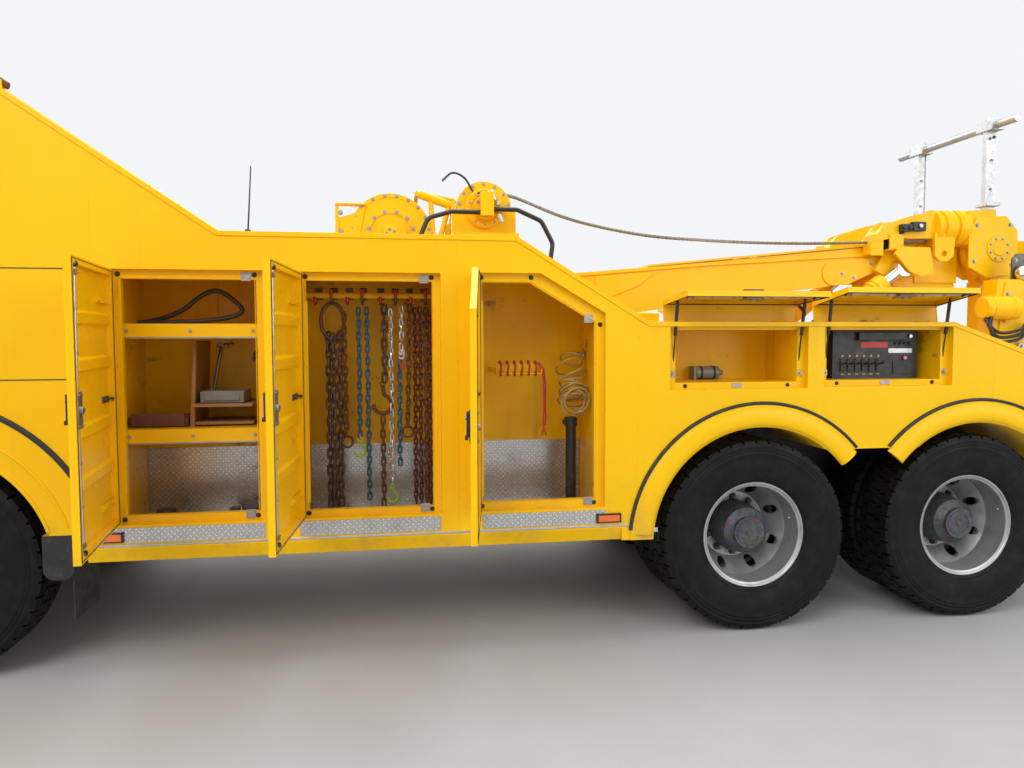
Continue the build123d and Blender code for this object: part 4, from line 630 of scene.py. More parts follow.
def wheels():
    """Treads, rim lips and nuts of all wheels; the two rear axles have twin tyres."""
    for axle, x in AXLE_X.items():
        for side in (LEFT, RIGHT):
            hand = HAND[side]
            twin = axle > 2
            body = f"wheels_{axle}{hand}" if twin else f"wheel_{axle}{hand}"
            y = side * TRACK
            rubber = Form()
            tyre_form(rubber, x, y, side)
            if twin:
                tyre_form(rubber, x, side * (TRACK - TWIN), side)
            node = f"tyres_{axle}{hand}" if twin else f"tyre_{axle}{hand}"
            rubber.done(f"tread_{axle}{hand}", body, "tyre", smooth=28, stand_for=(node,))
            lip = Form()
            rim_trim(lip, x, y, side, 0.127)
            lip.done(f"rim_lip_{axle}{hand}", body, "silver", smooth=50)
            nuts = Form()
            if twin:
                wheel_nuts(nuts, x, side, side * (TRACK - MOUNT_SHIFT + 0.014))
                hub_details(nuts, x, side, side * (TRACK - MOUNT_SHIFT + 0.02 + 0.060 - 0.002), 0.1405, 12)
                centre = side * (TRACK - MOUNT_SHIFT + 0.02 + 0.224)
            else:
                wheel_nuts(nuts, x, side, side * (TRACK + MOUNT_SHIFT))
                centre = side * 1.262
            out = Vector((0, side, 0))
            mid = Vector((x, centre, WHEEL_Z))
            nuts.ring(mid - out * 0.004, mid + out * 0.0028, 0.074, 0.060, 40)
            nuts.cyl(mid - out * 0.002, mid + out * 0.005, 0.020, 24, chamfer=0.002)
            nuts.done(f"hub_bolts_{axle}{hand}", body, "hub", smooth=40)
            recolour_hub(f"rims_{axle}{hand}" if twin else f"rim_{axle}{hand}", x)


def recolour_hub(node, x):
    """The hub's own faces take the darker grey; the rim's stay silver."""
    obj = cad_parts[node]
    obj.data.materials.append(M["hub"])
    for p in obj.data.polygons:
        c = p.center
        if hypot(c.x - x, c.z - WHEEL_Z) < HUB_R:
            p.material_index = 1


# ---- doors and lids
FLANK = 1.268
DOOR_START = {1: -1.08, 2: -0.194, 3: 0.70}
DOOR_END = {1: -0.355, 2: 0.525, 3: 1.402}
DOOR_FOOT = {1: 0.755, 2: 0.755, 3: 0.758}
DOOR_HEAD = {1: 2.007, 2: 2.003, 3: 2.008}
DOOR_DEGREES = {1: 83.4, 2: 94.0, 3: 98.0}
CHAMFER = {1: (0.0, 0.0), 2: (0.0, 0.0), 3: (0.352, 0.207)}
LID_START = {4: 1.765, 5: 2.670}
LID_END = {4: 2.570, 5: 3.470}
LID_FOOT = {4: 1.387, 5: 1.393}
LID_DEGREES = {4: 95.0, 5: 99.5}
LID_HINGE = (-1.140, 1.753)
LID_HEAD = 1.722
LIP_DEPTH, ROD_LINE, GAP = 0.030, 0.020, 0.005
ROD_INSET, ROD_BOW, LID_ROD_UP = 0.085, 0.020, 0.070
FACE = -FLANK
SKIN = FACE + 0.004
REST = FACE + 0.040


def door_turn(i):
    about = Matrix.Translation((DOOR_START[i], FACE, 0))
    return about @ Matrix.Rotation(radians(-DOOR_DEGREES[i]), 4, "Z") @ about.inverted()


def lid_turn(i):
    about = Matrix.Translation((0, *LID_HINGE))
    return about @ Matrix.Rotation(radians(-LID_DEGREES[i]), 4, "X") @ about.inverted()


def door_outline(i, inset):
    x0, x1 = DOOR_START[i] + GAP + inset, DOOR_END[i] - GAP - inset
    z0, z1 = DOOR_FOOT[i] + GAP + inset, DOOR_HEAD[i] - GAP - inset
    cx, cz = CHAMFER[i]
    if cx:
        return [(x0, z0), (x1, z0), (x1, z1 - cz), (x1 - cx, z1), (x0, z1)]
    return [(x0, z0), (x1, z0), (x1, z1), (x0, z1)]


def bolt(form, p, out, r=0.007, high=0.005):
    """A hexagon head on its washer, standing out from a face."""
    p, out = Vector(p), Vector(out)
    form.cyl(p, p + out * 0.0018, r * 1.55, 14)
    form.cyl(p + out * 0.0018, p + out * (high + 0.0018), r, 6)


def rubber_edge(form, outline, y0, y1, half=0.004):
    """A sealing strip along a closed outline of x and z points."""
    pts = [Vector((x, (y0 + y1) / 2, z)) for x, z in outline]
    form.tube(pts, half, 6, closed=True, flat=abs(y1 - y0) / 2)


def tall_door(i):
    """What a tall locker door carries: seal, guides, rollers, ribs, handle, hinges and stay."""
    turn = door_turn(i)
    body = f"locker_door_{i}l"
    x_rod = DOOR_END[i] - ROD_INSET
    bow = x_rod + ROD_BOW
    low, high = DOOR_FOOT[i] + 0.008, DOOR_HEAD[i] - GAP - CHAMFER[i][1] - 0.004
    mid = (low + high) / 2
    y, skin = FACE + ROD_LINE, SKIN
    seal = Form()
    rubber_edge(seal, door_outline(i, 0.010), FACE + LIP_DEPTH - 0.003, FACE + LIP_DEPTH + 0.003, 0.0035)
    seal.move(turn).pair(f"door_seal_{i}", "rubber", body)
    metal = Form()
    for z in (low + 0.060, high - 0.060):
        metal.box(x_rod - 0.016, x_rod + 0.016, y - 0.012, y + 0.0105, z - 0.009, z + 0.009)
        for s in (-1, 1):
            bolt(metal, (x_rod + s * 0.024, skin, z), (0, 1, 0), 0.0045, 0.003)
        metal.box(x_rod - 0.030, x_rod + 0.030, skin, skin + 0.002, z - 0.012, z + 0.012)
    for z0, z1, xa, xb in ((low + 0.03, mid - 0.04, x_rod, bow), (mid + 0.04, high - 0.03, bow, x_rod)):
        for share in (0.35, 0.68):
            z = z0 + (z1 - z0) * share
            x = xa + (xb - xa) * share
            metal.ring((x, y, z - 0.007), (x, y, z + 0.007), 0.0102, 0.0072, 16)
            metal.box(x - 0.004, x + 0.004, skin, y - 0.008, z - 0.006, z + 0.006)
    metal.box(bow - 0.034, bow + 0.034, y + 0.0095, y + 0.0125, mid - 0.075, mid + 0.075)
    for s in (-1, 1):
        for t in (-1, 1):
            bolt(metal, (bow + s * 0.026, y + 0.0125, mid + t * 0.064), (0, 1, 0), 0.0045, 0.003)
    metal.cyl((bow, y + 0.010, mid), (bow, y + 0.024, mid), 0.017, 24, chamfer=0.002)
    metal.box(bow - 0.040, bow + 0.008, y + 0.016, y + 0.021, mid - 0.006, mid + 0.006)
    for z in (low + 0.026, high - 0.026):
        metal.cyl((x_rod - 0.0135, y, z), (x_rod + 0.0135, y, z), 0.006, 12)
    metal.move(turn).pair(f"door_latch_{i}", "steel", body, bevel=0.0006)
    wheels_form = Form()
    for z in (low + 0.026, high - 0.026):
        wheels_form.ring((x_rod - 0.0108, y, z), (x_rod + 0.0108, y, z), 0.0148, 0.0085, 24)
    wheels_form.move(turn).pair(f"door_rollers_{i}", "black", body, bevel=0.001)
    ribs = Form()
    xa, xb = DOOR_START[i] + 0.046, DOOR_END[i] - 0.135
    for z in (low + 0.30, mid - 0.10, mid + 0.18, high - 0.24):
        section = ((skin, z - 0.034), (skin + 0.012, z - 0.022), (skin + 0.012, z + 0.022), (skin, z + 0.034))
        ribs.faces([(x, yy, zz) for x in (xa, xb) for yy, zz in section],
                   ((0, 1, 2, 3), (4, 7, 6, 5), (0, 4, 5, 1), (1, 5, 6, 2), (2, 6, 7, 3)))
    ribs.move(turn).pair(f"door_ribs_{i}", "body", body, bevel=0.003)
    handle = Form()
    hx = DOOR_END[i] - 0.075
    hz = mid + 0.005
    handle.box(hx - 0.042, hx + 0.042, FACE - 0.0035, FACE + 0.001, hz - 0.078, hz + 0.078)
    handle.box(hx - 0.034, hx + 0.034, FACE - 0.0065, FACE - 0.003, hz - 0.070, hz + 0.070)
    handle.box(hx - 0.026, hx + 0.026, FACE - 0.019, FACE - 0.006, hz - 0.050, hz + 0.062)
    handle.box(hx - 0.026, hx + 0.026, FACE - 0.026, FACE - 0.012, hz - 0.062, hz - 0.044)
    handle.move(turn).pair(f"door_handle_{i}", "black", body, bevel=0.003)
    lock = Form()
    lock.cyl((hx, FACE - 0.0245, hz + 0.034), (hx, FACE - 0.018, hz + 0.034), 0.010, 20, chamfer=0.001)
    lock.move(turn).pair(f"door_lock_{i}", "steel", body)
    leaves = Form()
    for z in (0.81, 1.30, 1.88):
        x = DOOR_START[i]
        leaves.box(x + 0.012, x + 0.070, FACE - 0.0035, FACE + 0.0005, z - 0.030, z + 0.030)
        for a, b in ((0.030, -0.018), (0.030, 0.018), (0.056, 0.0)):
            leaves.ball((x + a, FACE - 0.0035, z + b), 0.0062, 12, (1, 0.5, 1))
        leaves.cyl((x, FACE, z + 0.0325), (x, FACE, z + 0.038), 0.0078, 14)
        leaves.cyl((x, FACE, z - 0.038), (x, FACE, z - 0.0325), 0.0078, 14)
    leaves.move(turn).pair(f"door_hinge_leaves_{i}", "yellow", body, bevel=0.0012)
    arms = Form()
    x = DOOR_START[i]
    for z in (1.85, 0.89):
        arms.box(x + 0.040, x + 0.235, FACE + 0.0075, FACE + 0.0125, z - 0.016, z + 0.016)
        arms.box(x + 0.040, x + 0.046, FACE + 0.008, FACE + 0.030, z - 0.016, z + 0.016)
        arms.box(x + 0.200, x + 0.235, FACE + 0.0035, FACE + 0.008, z - 0.014, z + 0.014)
        bolt(arms, (x + 0.060, FACE + 0.0125, z), (0, 1, 0), 0.008, 0.006)
        bolt(arms, (x + 0.216, FACE + 0.0125, z), (0, 1, 0), 0.008, 0.006)
    arms.move(turn).pair(f"door_arms_{i}", "yellow", body, bevel=0.0012)
    hook = Form()
    z = 1.385
    hook.box(x + 0.050, x + 0.175, FACE + 0.0035, FACE + 0.010, z - 0.015, z + 0.015)
    hook.tube([(x + 0.16, FACE + 0.014, z), (x + 0.10, FACE + 0.024, z + 0.004),
               (x + 0.055, FACE + 0.027, z + 0.002), (x + 0.034, FACE + 0.020, z - 0.010),
               (x + 0.030, FACE + 0.010, z - 0.016)], 0.0055, 10)
    bolt(hook, (x + 0.15, FACE + 0.010, z), (0, 1, 0), 0.009, 0.009)
    hook.move(turn).pair(f"door_stay_{i}", "dark_steel", body, bevel=0.001)


def lid_outline(i, inset):
    x0, x1 = LID_START[i] + GAP + inset, LID_END[i] - GAP - inset
    z0, z1 = LID_FOOT[i] + GAP + inset, LID_HEAD - inset
    return [(x0, z0), (x1, z0), (x1, z1), (x0, z1)]


def lid(i):
    """All that a top-hung lid carries, with a gas strut at each end that joins it to the body."""
    turn = lid_turn(i)
    body = f"locker_flap_{i}l"
    x0, x1 = LID_START[i] + GAP, LID_END[i] - GAP
    z0 = LID_FOOT[i] + GAP
    mid = (x0 + x1) / 2
    y, z, skin = FACE + ROD_LINE, z0 + LID_ROD_UP, SKIN
    seal = Form()
    rubber_edge(seal, lid_outline(i, 0.008), FACE + 0.026, FACE + 0.033, 0.0035)
    seal.move(turn).pair(f"lid_seal_{i}", "rubber", body)
    metal = Form()
    for end in (x0 + 0.040, x1 - 0.040):
        metal.box(end - 0.011, end + 0.011, y - 0.012, y + 0.0105, z - 0.016, z + 0.016)
        metal.box(end - 0.014, end + 0.014, skin, skin + 0.002, z - 0.032, z + 0.032)
        metal.cyl((end - 0.0135, y, z), (end + 0.0135, y, z), 0.006, 12)
        for share in (0.35, 0.7):
            cx, cz = end + (mid - end) * share, z + 0.020 * share
            metal.ring((cx - 0.007, y, cz), (cx + 0.007, y, cz), 0.0102, 0.0072, 16)
            metal.box(cx - 0.006, cx + 0.006, skin, y - 0.008, cz - 0.004, cz + 0.004)
    metal.box(mid - 0.055, mid + 0.055, y + 0.0095, y + 0.0125, z - 0.018, z + 0.058)
    for s in (-1, 1):
        for t in (-0.008, 0.048):
            bolt(metal, (mid + s * 0.046, y + 0.0125, z + t), (0, 1, 0), 0.0045, 0.003)
    metal.cyl((mid, y + 0.010, z + 0.020), (mid, y + 0.022, z + 0.020), 0.015, 24, chamfer=0.002)
    metal.move(turn).pair(f"lid_latch_{i}", "steel", body, bevel=0.0006)
    rollers = Form()
    for end in (x0 + 0.040, x1 - 0.040):
        for s in (-1, 1):
            rollers.ring((end + s * 0.0125, y, z), (end + s * 0.0195, y, z), 0.0138, 0.006, 20)
    rollers.move(turn).pair(f"lid_rollers_{i}", "black", body, bevel=0.001)
    handle = Form()
    hz = z + 0.020
    handle.box(mid - 0.078, mid + 0.078, FACE - 0.0035, FACE + 0.001, hz - 0.040, hz + 0.040)
    handle.box(mid - 0.055, mid + 0.055, FACE - 0.018, FACE - 0.003, hz - 0.024, hz + 0.024)
    handle.move(turn).pair(f"lid_handle_{i}", "black", body, bevel=0.003)
    leaves = Form()
    for x in (LID_START[i] + 0.110, LID_END[i] - 0.110):
        leaves.box(x - 0.045, x + 0.045, -1.205, -1.150, 1.7555, 1.7585)
        for a in (-0.03, 0.0, 0.03):
            leaves.ball((x + a, -1.182, 1.7585), 0.006, 12, (1, 1, 0.5))
        for s in (-1, 1):
            leaves.cyl((x + s * 0.0325, *LID_HINGE), (x + s * 0.038, *LID_HINGE), 0.0075, 14)
    leaves.box(x0 + 0.004, x1 - 0.004, FACE - 0.0025, FACE + 0.0005, 1.728, 1.7565)
    leaves.move(turn).pair(f"lid_hinge_leaves_{i}", "yellow", body, bevel=0.0012)
    for k, x in enumerate((x0 + 0.028, x1 - 0.028)):
        lid_end = turn @ Vector((x, FACE + 0.018, 1.60))
        foot = Vector((x, -1.212, 1.470))
        for side in (LEFT, RIGHT):
            flip = Vector((1, -side, 1))
            a = Vector((foot[j] * flip[j] for j in range(3)))
            b = Vector((lid_end[j] * flip[j] for j in range(3)))
            along = (b - a).normalized()
            strut = Form()
            strut.cyl(a, a + along * 0.012, 0.006, 12)
            strut.cyl(a + along * 0.012, a + (b - a) * 0.52, 0.0042, 12)
            strut.cyl(a + (b - a) * 0.52, b - along * 0.012, 0.0095, 16, chamfer=0.001)
            strut.cyl(b - along * 0.012, b, 0.006, 12)
            strut.ball(a, 0.008, 12).ball(b, 0.008, 12)
            piece = strut.done(f"lid_strut_{i}{'ab'[k]}_{HAND[side]}", None, "black", smooth=40)
            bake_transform(piece)


def door_frames():
    """What the doors close against: buffers, striker plates, hinge cover plates and a raised edge."""
    buffers, plates, strikers = Form(), Form(), Form()
    rest = REST
    for i in (1, 2, 3):
        x0, x1, z0, z1 = DOOR_START[i], DOOR_END[i], DOOR_FOOT[i], DOOR_HEAD[i]
        cx, cz = CHAMFER[i]
        places = [(x0 + 0.040, z1 - 0.022), (x1 - cx - 0.045, z1 - 0.020), (x0 + 0.040, z0 + 0.020),
                  (x1 - 0.050, z0 + 0.020)]
        if cx:
            places.append((x1 - 0.020, z1 - cz - 0.060))
        for x, z in places:
            buffers.cyl((x, rest, z), (x, rest - 0.008, z), 0.0125, 20, 0.0105, chamfer=0.002)
            buffers.cyl((x, rest - 0.006, z), (x, rest - 0.0095, z), 0.004, 6)
        plates.box(x0 + 0.002, x0 + 0.050, rest - 0.0045, rest - 0.0005, z0 + 0.075, z1 - 0.145)
        for z in (0.92, 1.13, 1.54, 1.78):
            plates.ball((x0 + 0.034, rest - 0.0045, z), 0.006, 12, (1, 0.5, 1))
        x = x1 - 0.085
        for z, s in ((z0 + 0.010, 1), (z1 - cz - 0.010, -1)):
            zs = sorted((z - s * 0.004, z + s * 0.040))
            strikers.box(x - 0.024, x + 0.024, rest - 0.003, rest - 0.0005, zs[0], zs[1])
            for t in (-0.016, 0.016):
                bolt(strikers, (x + t, rest - 0.003, z + s * 0.026), (0, -1, 0), 0.0042, 0.003)
        strikers.box(x0 + 0.010, x0 + 0.020, rest - 0.014, rest, 1.372, 1.398)
    for i in (4, 5):
        x0, x1, z0 = LID_START[i], LID_END[i], LID_FOOT[i]
        for x in (x0 + 0.10, x1 - 0.10):
            buffers.cyl((x, rest, z0 + 0.017), (x, rest - 0.008, z0 + 0.017), 0.0115, 20, 0.0095,
                        chamfer=0.002)
        mid = (x0 + x1) / 2
        strikers.box(mid - 0.030, mid + 0.030, rest - 0.003, rest - 0.0005, z0 + 0.006, z0 + 0.030)
        for x in (x0 + 0.028, x1 - 0.028):
            strikers.box(x - 0.011, x + 0.011, rest - 0.003, rest - 0.0005, 1.452, 1.488)
            strikers.cyl((x, rest, 1.470), (x, rest + 0.012 - 0.028, 1.470), 0.005, 12)
    buffers.pair("door_buffers", "rubber")
    plates.pair("hinge_covers", "yellow", bevel=0.001)
    strikers.pair("door_strikers", "steel", bevel=0.0006)
    trim = Form()
    for i in (1, 2, 3):
        rubber_edge(trim, door_outline(i, 0.038 if i != 2 else 0.036), rest - 0.004, rest + 0.001, 0.0032)
    trim.pair("opening_seals", "body")


# ---- cords
def spline(name, points, radius, look):
    """A curve of one open NURBS spline through a cord's route."""
    data = bpy.data.curves.new(name, "CURVE")
    data.dimensions = "3D"
    data.resolution_u = 10
    data.bevel_depth = radius
    data.bevel_resolution = 3
    data.use_fill_caps = True
    line = data.splines.new("NURBS")
    line.points.add(len(points) - 1)
    for point, place in zip(line.points, points):
        point.co = (*place, 1.0)
    line.order_u = 3
    line.use_endpoint_u = True
    data.materials.append(M[look])
    obj = bpy.data.objects.new(name, data)
    bpy.context.scene.collection.objects.link(obj)
    return obj


def spline_length(obj):
    length = 0.0
    bevel = obj.data.bevel_depth
    obj.data.bevel_depth = 0.0
    bpy.context.view_layer.update()
    mesh = bpy.data.meshes.new_from_object(obj)
    pts = [v.co.copy() for v in mesh.vertices]
    obj.data.bevel_depth = bevel
    for a, b in zip(pts, pts[1:]):
        length += (b - a).length
    return length


AIR_ROUTE = ((1.306, -1.010, 1.310), (1.306, -0.905, 1.310), (1.310, -0.860, 1.570))
AIR_R, AIR_LOOP, AIR_TURNS = 0.0058, 0.074, 13


def air_hose():
    """A recoil hose: a helix of straw coloured hose about the coil's route."""
    a, b, c = (Vector(p) for p in AIR_ROUTE)
    first, second = (b - a).length, (c - b).length
    total = first + second
    points = []
    steps = AIR_TURNS * 16
    for k in range(steps + 1):
        s = total * k / steps
        u = s / total
        m1, m2 = a.lerp(b, min(1.0, u * 1.15)), b.lerp(c, u ** 1.6)
        centre = m1.lerp(m2, u)
        tangent = ((b - a) * (1 - u) + (c - b) * u).normalized()
        side = Vector((1, 0, 0))
        side = (side - tangent * side.dot(tangent)).normalized()
        up = tangent.cross(side)
        turn = 2 * pi * AIR_TURNS * k / steps
        wander = Vector((0.011 * sin(0.41 * turn), 0.0, 0.010 * cos(0.33 * turn)))
        loop = AIR_LOOP + 0.008 * sin(0.29 * turn)
        lean = tangent * (0.020 * sin(turn + 0.21 * turn))
        points.append(centre + wander + lean + (side * cos(turn) + up * sin(turn)) * loop)
    hose = spline("air_hose", points, AIR_R, "air")
    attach(hose, "truck")
    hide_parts("air_hose_coil")
    top = points[-1]
    fitting = Form()
    fitting.cyl(top, top + Vector((0.0, 0.0, 0.030)), 0.0085, 14, chamfer=0.001)
    fitting.cyl(top + Vector((0, 0, 0.024)), top + Vector((0, 0.06, 0.030)), 0.007, 12)
    fitting.cyl((top.x, top.y + 0.05, top.z + 0.030), (top.x, -0.700, top.z + 0.030), 0.008, 12)
    piece = fitting.done("air_fitting", "truck", "steel")
    spline_length(hose)


CABLE_ROUTE = ((-1.035, -0.955, 1.7553), (-0.440, -0.955, 1.7553), (-0.600, -0.945, 1.9273),
               (-0.700, -0.940, 1.9203), (-0.860, -0.925, 1.7793), (-1.035, -0.915, 1.7553))
CABLE_R = 0.0125


def loose_cable():
    cable = spline("loose_cable", CABLE_ROUTE, CABLE_R, "cable")
    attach(cable, "truck")
    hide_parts("cable_coil")
    spline_length(cable)


# ---- what stands in the lockers
def locker_one():
    """The tool locker's partition, shelf, tray lips, board box and hooks."""
    wood_form, dark, grey = Form(), Form(), Form()
    wood_form.box(-0.749, -0.444, -1.10, -0.72, 1.318, 1.334)
    wood_form.box(-0.745, -0.450, -1.05, -0.80, 1.221, 1.238)
    wood_form.prism([(-0.722, 1.66), (-0.738, 1.66), (-0.766, 1.19), (-0.742, 1.19)], -1.06, -0.74)
    wood_form.done("locker_boards", "truck", "wood", bevel=0.002)
    box_form = Form()
    box_form.box(-1.066, -0.775, -1.05, -0.80, 1.2175, 1.262)
    box_form.box(-1.052, -0.79, -1.062, -1.05, 1.2175, 1.285)
    box_form.done("locker_crate", "truck", "crate", bevel=0.002)
    grey.box(-0.71, -0.49, -1.07, -0.85, 1.3345, 1.398)
    grey.box(-0.69, -0.51, -1.075, -1.06, 1.345, 1.388)
    grey.done("locker_case", "truck", "case_grey", bevel=0.006)
    dark.tube([(-0.617, -1.00, 1.628), (-0.612, -1.015, 1.600), (-0.622, -1.02, 1.56), (-0.638, -1.015, 1.48),
               (-0.650, -1.01, 1.42), (-0.652, -1.005, 1.395)], 0.008, 12, flat=0.013)
    dark.ring((-0.652, -1.012, 1.385), (-0.652, -0.996, 1.385), 0.026, 0.014, 24)
    dark.ring((-0.615, -1.012, 1.632), (-0.615, -0.996, 1.632), 0.020, 0.010, 24)
    dark.box(-0.625, -0.605, -1.005, -0.70, 1.638, 1.646)
    dark.tube([(-0.44, -0.70, 1.60), (-0.44, -1.00, 1.600), (-0.44, -1.03, 1.585), (-0.44, -1.04, 1.56),
               (-0.44, -1.06, 1.555), (-0.44, -1.075, 1.575)], 0.007, 10)
    for x, w in ((-0.62, 0.05), (-0.55, 0.04), (-0.49, 0.045)):
        dark.box(x, x + w, -0.86, -0.80, 0.7035, 0.735)
    dark.box(-0.53, -0.40, -0.98, -0.80, 0.7035, 0.768)
    dark.cyl((-0.92, -0.95, 0.7035), (-0.92, -0.95, 0.765), 0.050, 28, chamfer=0.004)
    dark.done("locker_tools", "truck", "dark_steel", bevel=0.0015)
    lips = Form()
    for top in (1.745, 1.217):
        lips.box(-1.078, -0.357, -1.1905, -1.1885, top - 0.074, top - 0.066)
        for x in (-1.02, -0.72, -0.42):
            bolt(lips, (x, -1.1898, top - 0.036), (0, -1, 0), 0.006, 0.004)
    lips.pair("shelf_bolts", "steel")


# wire radius and pitch of each kind of chain
LINK = {"dark": (0.0078, 0.045), "rust": (0.0062, 0.036), "blue": (0.0060, 0.034), "silver": (0.0060, 0.034),
        "red": (0.0055, 0.030)}
# kind, X at the top, X at the foot, height of the top, height of the foot
STRANDS = (
    ("dark", -0.067, -0.067, 1.700, 0.735), ("dark", -0.041, -0.041, 1.690, 0.735),
    ("dark", -0.006, -0.010, 1.700, 0.745), ("rust", 0.018, 0.024, 1.807, 1.132),
    ("blue", 0.097, 0.097, 1.835, 1.120), ("blue", 0.141, 0.146, 1.835, 0.775),
    ("dark", 0.235, 0.235, 1.850, 1.430), ("rust", 0.222, 0.225, 1.235, 0.735),
    ("silver", 0.271, 0.271, 1.829, 0.853), ("silver", 0.329, 0.329, 1.845, 1.600),
    ("blue", 0.318, 0.315, 1.548, 0.961), ("rust", 0.374, 0.360, 1.850, 1.179),
    ("red", 0.405, 0.403, 1.835, 0.745), ("red", 0.432, 0.432, 1.840, 0.737),
    ("rust", 0.463, 0.464, 1.835, 0.752), ("red", 0.484, 0.484, 1.825, 0.737))
STRAND_LOOK = {"dark": "chain_dark", "rust": "rust", "blue": "chain_blue", "silver": "chain_silver",
               "red": "chain_red"}
HANG_Y = -0.915
# X and tip height of each peg
PEGS = ((-0.131, 1.895), (-0.046, 1.932), (0.039, 1.896), (0.118, 1.936), (0.217, 1.897), (0.299, 1.935),
        (0.381, 1.895), (0.463, 1.936))


def circle(n):
    """The angles of n points round a circle."""
    return [2 * pi * k / n for k in range(n)]


def link(form, centre, along, flat_dir, wire, pitch):
    """One welded chain link: a closed bar round a slot, long way down the chain."""
    half = pitch / 2 - wire * 0.15
    wide = wire * 1.62
    pts = []
    for t in circle(14):
        c, s = cos(t), sin(t)
        lift = half - wide + wide * abs(s) ** 0.9 if abs(s) > 0.05 else 0.0
        pts.append(centre + flat_dir * (wide * c) + along * (lift * (1 if s > 0 else -1)))
    form.tube(pts, wire, 6, closed=True)


def strand(form, kind, x0, x1, top, bottom, y):
    """A hanging run of links from top to bottom, each turned a quarter against the last."""
    wire, pitch = LINK[kind]
    count = max(1, int((top - bottom) / pitch))
    for k in range(count):
        share = (k + 0.5) / count
        z = top - (top - bottom) * share
        x = x0 + (x1 - x0) * share + sin(k * 1.7 + x0 * 40) * 0.0015
        twist = 0.35 * sin(k * 0.31 + x0 * 25) + (pi / 2 if k % 2 else 0.0)
        flat_dir = Vector((cos(twist), sin(twist), 0))
        link(form, Vector((x, y, z)), Vector((0, 0, 1)), flat_dir, wire, (top - bottom) / count * 1.34)


def snap_hook(form, x, y, top, high, wire=0.0085):
    """A grab hook: an eye above a round bent hook."""
    r = high * 0.27
    zc = top - high + r + wire
    form.ring((x, y - 0.006, top - 0.012), (x, y + 0.006, top - 0.012), 0.016, 0.008, 20)
    pts = [Vector((x, y, top - 0.024))]
    for k in range(11):
        a = radians(80 - 26 * k)
        pts.append(Vector((x + r * cos(a), y, zc + r * sin(a))))
    form.tube(pts, wire, 10)


def locker_two():
    """The chain locker: pegs with red tips on the back rail, and the chains hanging on them."""
    pegs, tips = Form(), Form()
    for x, top in PEGS:
        pegs.tube([(x, -0.70, 1.925), (x, -0.80, 1.915), (x, -0.868, 1.893), (x, -0.900, 1.866),
                   (x, -0.930, 1.860), (x, -0.952, 1.872), (x, -0.960, top - 0.018)], 0.0078, 10)
        pegs.box(x - 0.020, x + 0.020, -0.704, -0.7003, 1.89, 1.96)
        tips.cyl((x, -0.960, top - 0.034), (x, -0.960, top), 0.0102, 16, chamfer=0.003)
    for x in (-0.185, 0.515):
        pegs.box(x - 0.004, x + 0.004, -0.94, -0.86, 1.875, 1.945)
    pegs.done("chain_pegs", "truck", "dark_steel")
    tips.done("peg_tips", "truck", "red")
    rail = Form()
    for x in (-0.190, 0.521):
        rail.cyl((x - 0.003, -0.900, 1.905), (x + 0.003, -0.900, 1.905), 0.034, 28)
    rail.done("rail_flanges", "truck", "yellow", bevel=0.001)
    forms = {key: Form() for key in STRAND_LOOK}
    for n, (kind, x0, x1, top, bottom) in enumerate(STRANDS):
        strand(forms[kind], kind, x0, x1, top, bottom, HANG_Y - 0.012 * (n % 2))
    ring = [Vector((-0.0445 + 0.062 * cos(a), HANG_Y - 0.004, 1.765 + 0.098 * sin(a))) for a in circle(28)]
    forms["dark"].tube(ring, 0.0105, 10, closed=True)
    for x, z, r in ((0.028, 1.098, 0.030), (0.360, 1.146, 0.030)):
        pts = [Vector((x + r * cos(a), HANG_Y, z + r * sin(a))) for a in circle(20)]
        forms["rust"].tube(pts, 0.0068, 8, closed=True)
    snap_hook(forms["rust"], 0.222, HANG_Y, 1.43, 0.19, 0.0115)
    snap_hook(forms["silver"], 0.329, HANG_Y, 1.605, 0.055, 0.0075)
    hooks = Form()
    snap_hook(hooks, 0.097, HANG_Y, 1.122, 0.115, 0.0085)
    snap_hook(hooks, 0.271, HANG_Y - 0.012, 0.855, 0.110, 0.0085)
    hooks.done("lime_hooks", "truck", "lime")
    tag = Form()
    tag.box(0.322, 0.342, HANG_Y - 0.016, HANG_Y - 0.013, 1.498, 1.53)
    tag.done("chain_tag", "truck", "red", bevel=0.001)
    for key, form in forms.items():
        form.done(f"chains_{key}", "truck", STRAND_LOOK[key],
                  stand_for=("locker_chains",) if key == "dark" else ())


